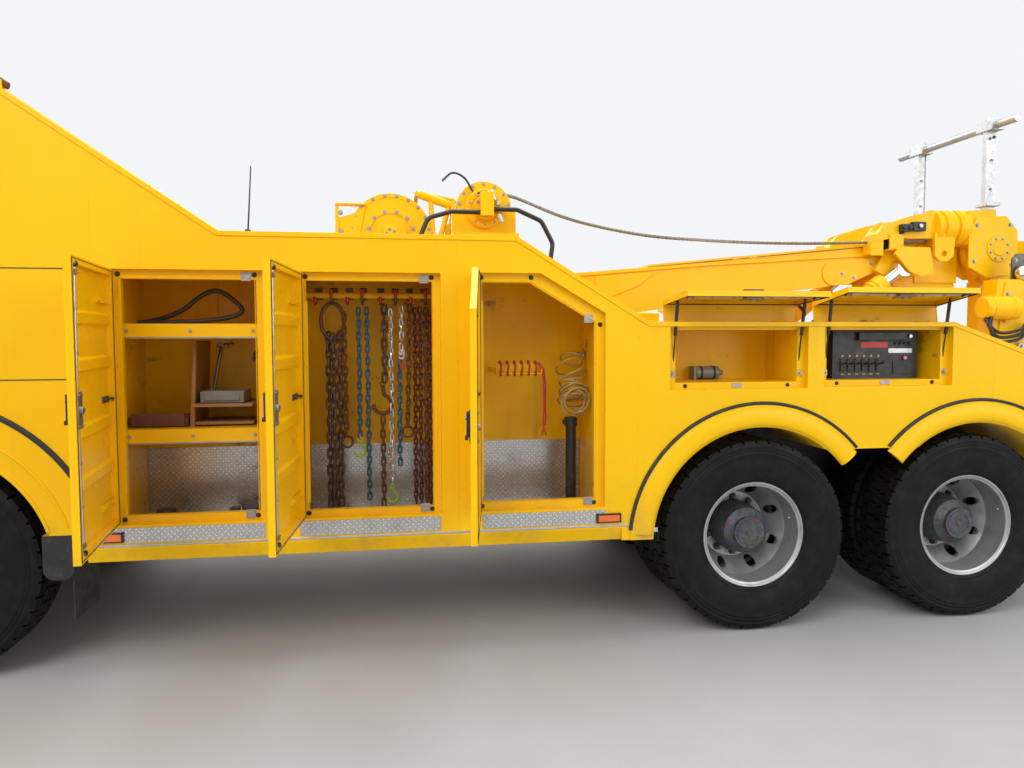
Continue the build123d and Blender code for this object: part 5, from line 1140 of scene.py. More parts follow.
def locker_three():
    """The hose locker: the post, its clamp, the cord bracket and the red tie."""
    post = Form()
    post.cyl((1.284, -0.968, 0.7035), (1.284, -0.968, 1.2170), 0.030, 28, chamfer=0.002)
    post.ring((1.284, -0.968, 1.165), (1.284, -0.968, 1.217), 0.037, 0.029, 28)
    post.box(1.238, 1.262, -0.985, -0.951, 1.178, 1.205)
    post.cyl((1.284, -0.968, 0.7035), (1.284, -0.968, 0.712), 0.052, 28)
    post.done("hose_post", "truck", "black", bevel=0.0015)
    bracket = Form()
    bracket.box(0.849, 1.109, -1.008, -0.952, 1.469, 1.474)
    bracket.box(0.849, 1.109, -0.956, -0.952, 1.469, 1.535)
    bracket.box(0.849, 0.853, -1.008, -0.70, 1.469, 1.500)
    bracket.box(1.105, 1.109, -1.008, -0.70, 1.469, 1.500)
    bracket.done("cord_bracket", "truck", "body", bevel=0.0012)
    red = Form()
    for k in range(6):
        x = 0.875 + 0.040 * k
        loop = [Vector((x + 0.002 * sin(3 * t), -0.980 + 0.036 * cos(t), 1.500 + 0.040 * sin(t)))
                for t in circle(14)]
        red.tube(loop, 0.0062, 7, closed=True)
    red.tube([(1.088, -0.985, 1.530), (1.110, -1.000, 1.500), (1.118, -1.003, 1.42), (1.122, -1.000, 1.30),
              (1.118, -0.998, 1.20), (1.121, -0.996, 1.155)], 0.0050, 8)
    red.tube([(1.094, -0.978, 1.534), (1.122, -0.990, 1.495), (1.132, -0.994, 1.40), (1.129, -0.992, 1.30),
              (1.134, -0.990, 1.22), (1.131, -0.990, 1.175)], 0.0050, 8)
    for a in circle(7):
        red.tube([(1.121, -0.996, 1.158), (1.121 + 0.012 * cos(a), -0.996 + 0.010 * sin(a), 1.138),
                  (1.121 + 0.018 * cos(a), -0.996 + 0.014 * sin(a), 1.118)], 0.0014, 5)
    red.done("red_tie", "truck", "red_cord")


def locker_four():
    """The grey bottle in the first lid's locker."""
    item = Form()
    item.cyl((2.05, -0.905, 1.462), (2.20, -0.905, 1.462), 0.038, 28, chamfer=0.006)
    item.cyl((2.20, -0.905, 1.462), (2.226, -0.905, 1.462), 0.016, 20, chamfer=0.002)
    item.box(2.035, 2.050, -0.94, -0.87, 1.4225, 1.50)
    item.done("grey_bottle", "truck", "case_grey", bevel=0.001)
    clip = Form()
    for x in (2.085, 2.165):
        clip.ring((x - 0.006, -0.905, 1.462), (x + 0.006, -0.905, 1.462), 0.0405, 0.0375, 28)
    clip.done("bottle_straps", "truck", "rubber")


def locker_five():
    """The control panel: its black face, levers, knobs, blank labels and a pink button."""
    x0, x1, z0, z1, face = 2.824, 3.360, 1.4273, 1.7117, -1.100
    box_form = Form()
    box_form.box(x0, x1, face + 0.004, -0.861, z0, z1)
    box_form.box(x0 - 0.004, x1 + 0.004, face - 0.001, face + 0.006, z0, z1)
    box_form.box(2.97, 3.30, face - 0.030, face, 1.655, 1.699)
    for k in range(6):
        x = 2.868 + 0.046 * k
        box_form.box(x, x + 0.030, face - 0.008, face, 1.470, 1.545)
        box_form.cyl((x + 0.015, face - 0.006, 1.512), (x + 0.015, face - 0.048, 1.522), 0.0048, 10)
        box_form.ball((x + 0.015, face - 0.054, 1.5235), 0.0105, 14)
    box_form.box(3.205, 3.330, face - 0.006, face, 1.452, 1.530)
    for k in range(4):
        box_form.cyl((3.222 + 0.030 * k, face, 1.635), (3.222 + 0.030 * k, face - 0.014, 1.635), 0.009, 16,
                     chamfer=0.002)
    for x in (x0 + 0.014, x1 - 0.014):
        for z in (z0 + 0.020, z1 - 0.020):
            bolt(box_form, (x, face, z), (0, -1, 0), 0.005, 0.003)
    box_form.done("control_panel", "truck", "black", bevel=0.0014)
    silver = Form()
    silver.box(3.176, 3.330, face - 0.0035, face - 0.001, 1.577, 1.604)
    silver.cyl((3.292, face - 0.030, 1.676), (3.292, face - 0.044, 1.676), 0.012, 20, chamfer=0.002)
    silver.done("panel_labels_silver", "truck", "galv", bevel=0.0005)
    red = Form()
    red.box(2.998, 3.172, face - 0.0035, face - 0.001, 1.608, 1.643)
    red.done("panel_label_red", "truck", "red", bevel=0.0005)
    pink = Form()
    pink.cyl((3.281, face - 0.005, 1.548), (3.281, face - 0.016, 1.548), 0.012, 20, chamfer=0.003)
    pink.done("panel_button", "truck", "pink")
    marks = Form()
    for k in range(6):
        x = 2.883 + 0.046 * k
        marks.prism([(x - 0.007, 1.556), (x + 0.007, 1.556), (x, 1.568)], face - 0.0022, face - 0.0008)
        marks.box(x - 0.008, x + 0.008, face - 0.0022, face - 0.0008, 1.452, 1.456)
    marks.done("panel_marks", "truck", "yellow", "dark_plastic")


# ---- machine: winches, ropes, boom, rams and underlift
WINCH_1, WINCH_2 = (0.280, 2.307), (0.855, 2.470)
ROPE_Y, ROPE_R = 0.300, 0.0115
BOOM_TOP = ((1.381, 2.092), (2.353, 2.180), (3.947, 2.289))
BEAM_HALF = 0.250
RAM_FOOT, RAM_EYE, RAM_Y = (2.55, 1.24), (3.79, 2.15), 0.350
LIFT_PIN, CROSSBAR_Z = (4.80, 0.76), 2.33


def repaint(node, look, chosen):
    """Faces of a CAD node whose centre is chosen take another finish."""
    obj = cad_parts[node]
    index = len(obj.data.materials)
    obj.data.materials.append(M[look])
    for p in obj.data.polygons:
        if chosen(p.center):
            p.material_index = index


def smooth_line(points, n):
    """A smooth line through points, n steps to each span."""
    pts = [Vector(p) for p in points]
    ext = [pts[0] * 2 - pts[1]] + pts + [pts[-1] * 2 - pts[-2]]
    line = []
    for a, b, c, d in zip(ext, ext[1:], ext[2:], ext[3:]):
        for k in range(n):
            t = k / n
            line.append((b * 2 + (c - a) * t + (a * 2 - b * 5 + c * 4 - d) * t * t
                         + (b * 3 - a - c * 3 + d) * t ** 3) / 2)
    return line + [pts[-1]]


def bolt_ring(form, centre, y, r, count, size=0.008, high=0.006, out=-1, phase=0.5):
    """Bolt heads in a circle on a face square to Y."""
    for i in range(count):
        a = 2 * pi * (i + phase) / count
        bolt(form, (centre[0] + r * cos(a), y, centre[1] + r * sin(a)), (0, out, 0), size, high)


def wound_rope(form, centre, r, y0, y1):
    """Turns of rope laid side by side on a drum."""
    pitch = 2.04 * ROPE_R
    turns = int((y1 - y0 - 2 * ROPE_R) / pitch)
    steps = 26
    points = []
    for i in range(turns * steps + 1):
        a = 2 * pi * i / steps
        points.append((centre[0] + r * cos(a), y0 + ROPE_R + pitch * i / steps, centre[1] + r * sin(a)))
    form.tube(points, ROPE_R, 6)


def winch_details():
    """Both winches: wound rope, flange rings, bolts, gear case, ports, cradle and hose ends."""
    for number, centre, drum_r, y0, y1 in ((1, WINCH_1, 0.150, -0.380, 0.340),
                                           (2, WINCH_2, 0.100, -0.390, 0.120)):
        wound = Form()
        wound_rope(wound, centre, drum_r + ROPE_R * 0.98, y0 + 0.001, y1 - 0.001)
        wound_rope(wound, centre, drum_r + ROPE_R * 2.75, y0 + 0.012, y1 - 0.15)
        wound.done(f"wound_rope_{number}", "truck", "rope", smooth=60)
    x, z = WINCH_1
    disc = Form()
    disc.ring((x, -0.4235, z), (x, -0.4195, z), 0.248, 0.224, 56)
    disc.ring((x, -0.4270, z), (x, -0.4195, z), 0.152, 0.128, 48)
    disc.cyl((x, -0.4720, z), (x, -0.4590, z), 0.044, 32, chamfer=0.003)
    disc.done("winch_1_rings", "truck", "machine", bevel=0.0012)
    plate = Form()
    plate.prism([(-0.052, 2.150), (0.125, 2.060), (0.132, 2.085), (-0.030, 2.170), (-0.030, 2.470),
                 (-0.052, 2.485)], -0.4375, -0.4285)
    plate.box(-0.050, 0.128, -0.452, -0.378, 2.478, 2.488)
    plate.done("winch_1_bracket", "truck", "machine", bevel=0.002)
    bolts = Form()
    bolt_ring(bolts, WINCH_1, -0.4235, 0.236, 20, 0.0075)
    bolt_ring(bolts, WINCH_1, -0.4270, 0.140, 12, 0.0085)
    bolt_ring(bolts, WINCH_1, -0.4720, 0.026, 5, 0.0060)
    for bx, bz in ((-0.02, 2.20), (-0.02, 2.32), (-0.02, 2.43), (0.10, 2.09)):
        bolt(bolts, (bx, -0.4375, bz), (0, -1, 0), 0.010, 0.008)
    bolt_ring(bolts, WINCH_2, -0.4200, 0.158, 14, 0.0070)
    bolt_ring(bolts, WINCH_2, -0.4800, 0.100, 10, 0.0080)
    bolt_ring(bolts, WINCH_2, -0.5400, 0.056, 6, 0.0070)
    bolts.done("winch_bolts", "truck", "steel")
    x, z = WINCH_2
    gear = Form()
    gear.ring((x, -0.4860, z), (x, -0.4790, z), 0.116, 0.086, 40)
    gear.lathe([(0.118, 0.0), (0.124, 0.008), (0.124, 0.020), (0.118, 0.028)], (x, -0.452, z), (0, -1, 0), 40)
    gear.box(x - 0.020, x + 0.095, -0.560, -0.478, z - 0.020, z + 0.088)
    gear.cyl((x + 0.040, -0.559, z + 0.052), (x + 0.040, -0.572, z + 0.052), 0.024, 24, chamfer=0.003)
    gear.done("winch_2_gear", "truck", "machine", bevel=0.003)
    cap = Form()
    cap.cyl((x + 0.015, -0.5590, z + 0.074), (x + 0.015, -0.5760, z + 0.074), 0.015, 20, chamfer=0.002)
    cap.cyl((x + 0.070, -0.5590, z + 0.018), (x + 0.070, -0.5740, z + 0.018), 0.013, 20, chamfer=0.002)
    for p in ((0.560, 2.300), (0.720, 2.290), (0.880, 2.275)):
        cap.cyl((p[0], -0.420, p[1]), (p[0], -0.432, p[1]), 0.012, 6)
    cap.done("winch_2_ports", "truck", "galv", bevel=0.001)
    base = Form()
    for y in (-0.415, 0.135):
        base.prism([(x - 0.215, 2.215), (x + 0.205, 2.180), (x + 0.205, 2.205), (x + 0.11, 2.235),
                    (x - 0.11, 2.262), (x - 0.215, 2.245)], y - 0.020, y + 0.020)
    base.box(x - 0.235, x - 0.205, -0.440, 0.160, 2.150, 2.262)
    base.box(x + 0.190, x + 0.220, -0.440, 0.160, 2.120, 2.230)
    base.done("winch_2_cradle", "truck", "machine", bevel=0.003)
    arm = Form()
    arm.tube([(0.442, -0.365, 2.567), (0.560, -0.365, 2.551), (0.677, -0.365, 2.530)], 0.010, 8, flat=0.016)
    arm.tube([(0.677, -0.365, 2.530), (0.658, -0.365, 2.480), (0.664, -0.365, 2.420)], 0.009, 8, flat=0.014)
    arm.cyl((0.442, -0.380, 2.567), (0.442, 0.330, 2.567), 0.016, 20, chamfer=0.002)
    arm.done("rope_tensioner", "truck", "machine")
    thin = Form()
    thin.tube(smooth_line([(0.595, -0.430, 2.640), (0.660, -0.432, 2.690), (0.735, -0.432, 2.660),
                           (0.790, -0.455, 2.570), (0.835, -0.520, 2.560)], 10), 0.0065, 8)
    thin.done("thin_hose", "truck", "hose")
    ferrules = Form()
    for x0, z0, x1, z1 in ((0.905, 2.500, 0.880, 2.560), (0.925, 2.420, 0.948, 2.372)):
        ferrules.cyl((x0, -0.575, z0), (x1, -0.575, z1), 0.0175, 16, chamfer=0.002)
    ferrules.done("hose_ferrules", "truck", "galv")


def wire_rope():
    """The rope from the upper winch to the left head's guide, bending where the boom swings."""
    points = ((0.905, 2.588), (1.059, 2.577), (1.369, 2.463), (1.638, 2.397), (1.980, 2.345), (2.330, 2.325),
              (2.688, 2.314), (3.053, 2.314), (3.388, 2.323), (3.846, 2.338), (4.010, 2.352))
    line = smooth_line([(x, -ROPE_Y, z) for x, z in points], 12)
    strands, core = Form(), Form()
    core.tube(line, ROPE_R * 0.62, 6)
    along = 0.0
    paths = [[] for _ in range(6)]
    for i, p in enumerate(line):
        a = line[max(i - 1, 0)]
        b = line[min(i + 1, len(line) - 1)]
        along += (p - a).length
        t = (b - a).normalized()
        across = t.cross(Vector((0, 1, 0))).normalized()
        for k in range(6):
            turn = 2 * pi * (k / 6 + along / 0.130)
            paths[k].append(p + (Vector((0, 1, 0)) * cos(turn) + across * sin(turn)) * ROPE_R * 0.60)
    for path in paths:
        strands.tube(path, ROPE_R * 0.42, 5)
    for form, part in ((strands, "strands"), (core, "core")):
        obj = form.done(f"wire_rope_{part}", None, "rope", None, smooth=70)
        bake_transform(obj)


def boom_line(x):
    """The height of the boom's top edge."""
    (xa, za), (xb, zb), (xc, zc) = BOOM_TOP
    if x < xb:
        return za + (zb - za) * (x - xa) / (xb - xa)
    return zb + (zc - zb) * (x - xb) / (xc - xb)


def boom_details():
    """What the boom carries: strips, doublers, rope heads, bolts, rope guide, valves and post clamps."""
    face = -BEAM_HALF
    edge = Form()
    xs = [1.42 + 0.1 * i for i in range(27)]
    outline = [(x, boom_line(x) - 0.004) for x in xs] + [(x, boom_line(x) - 0.026) for x in reversed(xs)]
    edge.prism(outline, face - 0.012, face + 0.001)
    edge.pair("boom_edge_strip", "machine", "boom", bevel=0.002)
    doubler = Form()
    arc = [(3.335 - 0.085 * sin(a), 2.117 + 0.085 * cos(a)) for a in [pi * k / 12 for k in range(13)]]
    shape = [(3.90, 2.254), (3.335, 2.202)] + arc[1:-1] + [(3.335, 2.032), (3.442, 2.040), (3.693, 2.150)]
    doubler.prism(shape, face - 0.010, face + 0.001)
    doubler.pair("boom_doubler", "machine", "boom", bevel=0.002)
    overlay = Form()
    overlay.prism([(1.62, 1.900), (1.92, 2.020), (2.02, 2.100), (1.98, 2.112), (1.62, 2.080)],
                  face - 0.008, face + 0.001)
    overlay.ring((1.300, face - 0.030, 1.900), (1.300, face + 0.001, 1.900), 0.120, 0.062, 40)
    overlay.pair("boom_root_plate", "machine", "boom", bevel=0.002)
    lug = Form()
    lug.prism([(3.691, 2.243), (3.735, 2.262), (3.955, 2.276), (3.955, 2.300), (3.90, 2.318), (3.78, 2.312),
               (3.705, 2.276)], face - 0.022, face - 0.009)
    lug.pair("boom_lug", "machine", "boom", bevel=0.002)
    head = Form()
    for y in (-0.392, -0.168):
        head.prism([(4.270, 2.160), (4.420, 2.085), (4.600, 2.110), (4.655, 2.240), (4.650, 2.420),
                    (4.560, 2.520), (4.330, 2.505), (4.270, 2.400)], y - 0.006, y + 0.006)
    head.cyl((4.500, -0.414, 2.290), (4.500, -0.146, 2.290), 0.052, 32, chamfer=0.004)
    head.ring((4.500, -0.408, 2.290), (4.500, -0.396, 2.290), 0.092, 0.052, 36)
    for x in (4.062, 4.118, 4.170, 4.222, 4.270):
        head.ring((x - 0.014, -0.280, 2.440), (x + 0.014, -0.280, 2.440), 0.126, 0.100, 40)
    head.prism([(3.955, 2.057), (4.287, 2.057), (4.287, 2.300), (4.200, 2.340), (3.990, 2.330),
                (3.955, 2.290)],
               -0.262, -0.238)
    head.pair("boom_head_plates", "machine", "boom", bevel=0.003)
    nuts = Form()
    bolt_ring(nuts, (4.500, 2.290), -0.408, 0.073, 8, 0.0075)
    for x, z in ((4.315, 2.200), (4.610, 2.180), (4.590, 2.460), (4.330, 2.450)):
        bolt(nuts, (x, -0.398, z), (0, -1, 0), 0.011, 0.009)
    for x, z in ((3.40, 2.117), (3.62, 2.190), (3.84, 2.230), (3.49, 2.090)):
        bolt(nuts, (x, face - 0.010, z), (0, -1, 0), 0.009, 0.007)
    bolt_ring(nuts, (1.300, 1.900), face - 0.030, 0.090, 8, 0.008)
    for x, z in ((3.76, 2.287), (3.92, 2.287)):
        bolt(nuts, (x, face - 0.022, z), (0, -1, 0), 0.008, 0.006)
    nuts.pair("boom_bolts", "steel", "boom")
    guide = Form()
    for x in (3.560, 3.640):
        z = boom_line(x)
        guide.box(x - 0.008, x + 0.008, -0.345, -0.255, z - 0.02, z + 0.112)
    guide.box(3.552, 3.648, -0.350, -0.342, boom_line(3.6) - 0.03, boom_line(3.6) + 0.115)
    guide.pair("rope_guide", "machine", "boom", bevel=0.002)
    rollers = Form()
    for z in (2.302, 2.352):
        rollers.cyl((3.705, -0.360, z), (3.705, -0.240, z), 0.019, 20, chamfer=0.003)
    for y in (-0.335, -0.265):
        rollers.cyl((3.760, y, 2.290), (3.760, y, 2.378), 0.017, 20, chamfer=0.003)
    rollers.pair("rope_rollers", "black", "boom")
    frame_form = Form()
    for z in (2.276, 2.376):
        frame_form.box(3.680, 3.785, -0.366, -0.234, z - 0.006, z + 0.006)
    for y in (-0.366, -0.234):
        frame_form.box(3.680, 3.785, y - 0.006, y + 0.006, 2.276, 2.376)
    frame_form.pair("roller_frame", "machine", "boom", bevel=0.0015)
    boxes = Form()
    boxes.box(3.755, 3.830, -0.400, -0.330, 2.398, 2.448)
    boxes.box(3.842, 3.938, -0.395, -0.335, 2.404, 2.466)
    boxes.cyl((3.770, -0.4005, 2.424), (3.770, -0.412, 2.424), 0.014, 16)
    boxes.cyl((3.812, -0.4005, 2.424), (3.812, -0.412, 2.424), 0.014, 16)
    boxes.done("boom_valves", "boom", "black", bevel=0.003)
    knobs = Form()
    knobs.cyl((3.890, -0.3955, 2.436), (3.890, -0.412, 2.436), 0.015, 20, chamfer=0.003)
    for x in (2.62, 2.74):
        knobs.box(x - 0.028, x + 0.028, -0.245, -0.190, boom_line(x) - 0.012, boom_line(x) + 0.030)
    knobs.done("boom_knobs", "boom", "galv", bevel=0.002)
    lines = Form()
    lines.tube(smooth_line([(3.65, -0.205, 2.290), (3.72, -0.25, 2.330), (3.76, -0.34, 2.380),
                            (3.79, -0.365, 2.400)], 8), 0.010, 10)
    lines.done("boom_lines", "boom", "hose")
    repaint("boom", "galv", lambda c: c.z > 2.5665 and 4.38 < c.x < 4.50)
    clamp = Form()
    clamp.box(4.386, 4.494, -0.412, -0.298, 2.585, 2.610)
    clamp.box(4.392, 4.488, -0.430, -0.280, 3.105, 3.175)
    clamp.pair("post_clamps", "galv", "boom", bevel=0.003)
    # painted shade: a black disc stands for the dark inside of the post's hole
    hole = Form()
    hole.cyl((4.440, -0.3995, 3.060), (4.440, -0.3905, 3.060), 0.011, 18)
    hole.pair("post_hole_shade_disc", "black", "boom")


def ram_details():
    """The lift cylinders' glands, pipes, clips and foot washers."""
    (fx, fz), (ex, ez) = RAM_FOOT, RAM_EYE
    reach = hypot(ex - fx, ez - fz)
    ux, uz = (ex - fx) / reach, (ez - fz) / reach

    def at(d, up=0.0):
        """A point at a distance up the left ram from its foot, and off its line."""
        return Vector((fx + ux * d - uz * up, -RAM_Y, fz + uz * d + ux * up))

    gland = Form()
    gland.ring(at(1.350), at(1.366), 0.066, 0.041, 36)
    gland.ring(at(1.255), at(1.275), 0.074, 0.060, 36)
    gland.ring(at(0.120), at(0.150), 0.070, 0.058, 36)
    gland.pair("ram_glands", "machine", "ram_barrels", bevel=0.002)
    pipe = Form()
    pipe.tube([at(d, up=up) for d, up in ((0.20, 0.060), (0.20, 0.086), (0.26, 0.088), (1.14, 0.088),
                                          (1.20, 0.060))], 0.008, 8)
    pipe.pair("ram_pipes", "steel", "ram_barrels")
    clips = Form()
    for d in (0.45, 0.80, 1.08):
        clips.ring(at(d - 0.012), at(d + 0.012), 0.0665, 0.0605, 32)
        clips.ring(at(d - 0.012, up=0.088), at(d + 0.012, up=0.088), 0.014, 0.008, 14)
    clips.pair("ram_clips", "black", "ram_barrels")
    pins = Form()
    for side in (-1, 1):
        y = side * 0.292
        pins.cyl((fx, y, fz), (fx, y - side * 0.006, fz), 0.045, 24, chamfer=0.002)
    pins.done("ram_foot_washers", "truck", "steel")


def tail_details():
    """The tail's cheek plates, work lamps, cylinders, hoses and hook, and the underlift's bands and ends."""
    plate = Form()
    plate.prism([(4.300, 1.420), (4.585, 1.420), (4.598, 2.040), (4.380, 2.040), (4.315, 1.520)],
                -0.612, -0.600)
    plate.pair("tail_cheek_plate", "machine", bevel=0.002)
    dark = Form()
    dark.prism([(4.470, 2.062), (4.598, 2.062), (4.598, 2.215), (4.555, 2.240), (4.500, 2.240),
                (4.470, 2.205)], -0.560, -0.545)
    dark.pair("tail_dark_plate", "dark_steel", bevel=0.003)
    lamp = Form()
    lamp.lathe([(0.0, 0.0), (0.040, 0.0), (0.052, 0.012), (0.054, 0.040), (0.048, 0.052), (0.020, 0.060),
                (0.0, 0.061)], (4.530, -0.562, 2.105), (0, -1, 0), 32)
    lamp.pair("tail_work_lamp", "chrome")
    tank = Form()
    tank.cyl((4.180, -0.640, 1.865), (4.440, -0.640, 1.865), 0.078, 40, chamfer=0.012)
    tank.ring((4.225, -0.640, 1.865), (4.245, -0.640, 1.865), 0.082, 0.076, 40)
    tank.ring((4.375, -0.640, 1.865), (4.395, -0.640, 1.865), 0.082, 0.076, 40)
    tank.box(4.215, 4.255, -0.640, -0.598, 1.770, 1.880)
    tank.box(4.365, 4.405, -0.640, -0.598, 1.770, 1.880)
    tank.pair("tail_cylinder", "machine", bevel=0.002)
    hoses = Form()
    for k in range(3):
        z = 1.775 - 0.030 * k
        hoses.tube(smooth_line([(4.205, -0.655 - 0.022 * k, 1.800), (4.175, -0.690 - 0.020 * k, z),
                                (4.260, -0.705, z - 0.075), (4.420, -0.690, z - 0.060),
                                (4.520, -0.640, z - 0.010)], 8), 0.0105, 10)
    hoses.done("tail_hoses", "truck", "hose")
    bolts = Form()
    for x, z in ((4.340, 1.560), (4.560, 1.480), (4.560, 1.760), (4.400, 1.960), (4.560, 1.990)):
        bolt(bolts, (x, -0.612, z), (0, -1, 0), 0.011, 0.009)
    for x, z in ((4.495, 2.195), (4.575, 2.190)):
        bolt(bolts, (x, -0.560, z), (0, -1, 0), 0.009, 0.007)
    bolts.pair("tail_bolts", "steel")
    hook = Form()
    upper = [pi * (0.1 + k / 9 * 1.5) for k in range(10)]
    lower = [pi * (0.5 - k / 9 * 1.5) for k in range(10)]
    loop = [(4.5 + 0.030 * cos(a), -0.632, 1.66 + 0.040 * sin(a)) for a in upper]
    tail = [(4.5 + 0.030 * cos(a), -0.632, 1.585 - 0.040 * sin(a)) for a in lower]
    hook.tube(smooth_line(loop + tail, 3), 0.008, 10)
    hook.done("tail_hook", "truck", "galv")
    x, z = LIFT_PIN
    pin = Form()
    pin.cyl((x, -0.1735, z), (x, -0.163, z), 0.060, 32, chamfer=0.003)
    pin.pair("lift_pin_caps", "steel")
    nuts = Form()
    bolt_ring(nuts, LIFT_PIN, -0.1735, 0.040, 6, 0.007)
    nuts.pair("lift_pin_bolts", "steel")
    band = Form()
    for zz in (2.06, 1.16):
        band.box(x - 0.118, x + 0.118, -0.118, 0.118, zz - 0.030, zz + 0.030)
    band.done("underlift_bands", "underlift_arm", "machine", bevel=0.003)
    ends = Form()
    for y0, y1 in ((-0.828, -0.8195), (0.8195, 0.828)):
        ends.box(x + 0.275, x + 0.425, y0, y1, CROSSBAR_Z - 0.080, CROSSBAR_Z + 0.080)
    for y in (-0.45, 0.45):
        ends.box(x + 0.275, x + 0.425, y - 0.030, y + 0.030, CROSSBAR_Z + 0.074, CROSSBAR_Z + 0.082)
    ends.done("crossbar_ends", "underlift_crossbar", "machine", bevel=0.003)


# ---- body: arches, seams, edges and lamps
TAIL_X = 4.5803
FAIRING_FOOT, FAIRING_SLOPE = (-0.560, 2.198), 0.672
BODY_EDGE = ((-2.995, 3.8355), (-0.560, 2.198), (0.924, 2.198), (1.648, 1.756), (3.476, 1.756),
             (3.925, 1.600), (4.448, 1.422))


def arc_sweep(form, x, profile, low, high, n=48):
    """A closed section of radius and y points swept about a wheel's centre between two angles."""
    m = len(profile)
    rings = []
    for i in range(n + 1):
        a = low + (high - low) * i / n
        rings.append([form.bm.verts.new((x + r * cos(a), y, WHEEL_Z + r * sin(a))) for r, y in profile])
    for a, b in zip(rings, rings[1:]):
        for k in range(m):
            form.bm.faces.new((a[k], a[(k + 1) % m], b[(k + 1) % m], b[k]))
    form.bm.faces.new(rings[0][::-1])
    form.bm.faces.new(rings[-1])


def arch_angles(r, right_z, left_z):
    """The angles at which a circle of this radius about a wheel passes a height on either side."""
    return asin((right_z - WHEEL_Z) / r), pi - asin((left_z - WHEEL_Z) / r)


# sections of the arches' lips and strips: radius about the wheel's centre, and Y. The crown strip is a black
# strip that paints the shadow line under the rear lips; the rolled strip is real rubber.
CROWN = ((0.628, -1.266), (0.632, -1.279), (0.645, -1.287), (0.668, -1.291), (0.700, -1.289), (0.728, -1.282),
         (0.744, -1.272), (0.746, -1.266))
# painted shadow: a black strip just outside the rear lips, where their shadow line falls
CROWN_SHADOW_STRIP = ((0.752, -1.266), (0.750, -1.279), (0.758, -1.283), (0.767, -1.279), (0.768, -1.266))
ROLLED = ((0.622, -1.262), (0.620, -1.272), (0.624, -1.281), (0.632, -1.284), (0.640, -1.280),
          (0.641, -1.266))
ROLLED_BEAD = ((0.714, -1.272), (0.716, -1.281), (0.722, -1.284), (0.728, -1.281), (0.730, -1.272))
ROLLED_STRIP = ((0.836, -1.266), (0.838, -1.279), (0.850, -1.283), (0.861, -1.279), (0.863, -1.266))


def arches():
    """Lips round the wheels' arches, a rubber strip round the front arch and a black painted-shadow strip
    round the rear ones; the tandem's two arches meet between the wheels.
    """
    lips, strips = Form(), Form()
    for x, left_z, right_z in ((AXLE_X[3], 0.600, 0.985), (AXLE_X[4], 0.985, 0.700)):
        low, high = arch_angles(0.690, right_z, left_z)
        arc_sweep(lips, x, CROWN, low, high)
        # the black strip along each rear lip is a painted shadow line
        arc_sweep(strips, x, CROWN_SHADOW_STRIP, low + 0.03, high - 0.03)
    low, high = arch_angles(0.660, 0.745, 0.745)
    arc_sweep(lips, AXLE_X[2], ROLLED, low, high)
    arc_sweep(lips, AXLE_X[2], ROLLED_BEAD, low, high)
    low, high = arch_angles(0.850, 0.735, 0.735)
    arc_sweep(strips, AXLE_X[2], ROLLED_STRIP, low, high)
    lips.pair("arch_lips", "yellow", smooth=50)
    strips.pair("arch_rubbers_and_shadow_strips", "rubber", smooth=50)


def edge_band(form, line, drop, y0, y1):
    """A band under a line of x and z points, of one depth square to it."""
    lower = []
    for i, (x, z) in enumerate(line):
        a, b = line[max(i - 1, 0)], line[min(i + 1, len(line) - 1)]
        t = Vector((b[0] - a[0], 0, b[1] - a[1])).normalized()
        lower.append((x + t.z * drop, z - t.x * drop))
    for (a, b), (c, d) in zip(zip(line, line[1:]), zip(lower, lower[1:])):
        form.prism([a, b, d, c], y0, y1)


def body_trim():
    """Bands, seams and rails on the side bodies, the fairing's rail, the antenna and the mud flaps' bolts."""
    band = Form()
    edge_band(band, BODY_EDGE, 0.026, -1.2735, -1.2672)
    band.pair("body_edge_band", "yellow", bevel=0.0018)
    seams = Form()
    for z in (2.005, 1.475):
        seams.box(-2.996, -1.180, -1.2690, -1.2672, z - 0.0028, z + 0.0028)
    seams.pair("body_seams", "rubber")
    rail = Form()
    rail.prism([(1.600, 0.610), (1.700, 0.610), (1.700, 0.634), (1.600, 0.634)], -1.2745, -1.2670)
    rail.box(-1.150, 1.560, -1.2710, -1.2672, 0.648, 0.660)
    rail.pair("sill_rail", "galv", bevel=0.002)
    slats = Form()
    for k in range(6):
        z = 0.80 + 0.042 * k
        slats.box(-1.235, -1.115, -1.2725, -1.2672, z, z + 0.024)
    slats.pair("slatted_panel", "yellow", bevel=0.002)
    top = Form()
    top.tube([(-2.960, -1.215, 3.842), (-1.500, -1.215, 2.861)], 0.014, 10, flat=0.020)
    top.done("fairing_rail", "truck", "rust")
    posts = Form()
    for x in (-2.90, -2.20, -1.54):
        z = FAIRING_FOOT[1] + FAIRING_SLOPE * (FAIRING_FOOT[0] - x)
        posts.box(x - 0.020, x + 0.020, -1.235, -1.195, z - 0.020, z + 0.030)
    posts.done("fairing_brackets", "truck", "yellow", bevel=0.002)
    rod_form = Form()
    rod_form.cyl((-0.46, -1.05, 2.19), (-0.455, -1.05, 2.235), 0.016, 20, chamfer=0.003)
    rod_form.cyl((-0.455, -1.05, 2.235), (-0.435, -1.05, 2.560), 0.0045, 8, 0.003)
    rod_form.done("antenna", "truck", "black")
    repaint("fenders", "rubber", lambda c: c.z < 0.7195 and -1.42 < c.x < -1.25)
    flap_bolts = Form()
    for y in (-1.21, -1.12, -1.03, -0.94):
        for out, x in ((1, -1.2672), (-1, -1.3048)):
            bolt(flap_bolts, (x, y, 0.703), (out, 0, 0), 0.008, 0.006)
    flap_bolts.pair("mudflap_bolts", "steel")
    repaint("lamps", "lamp_clear", lambda c: c.x < -5.0)
    repaint("lamps", "lamp_red", lambda c: c.x > 4.4)


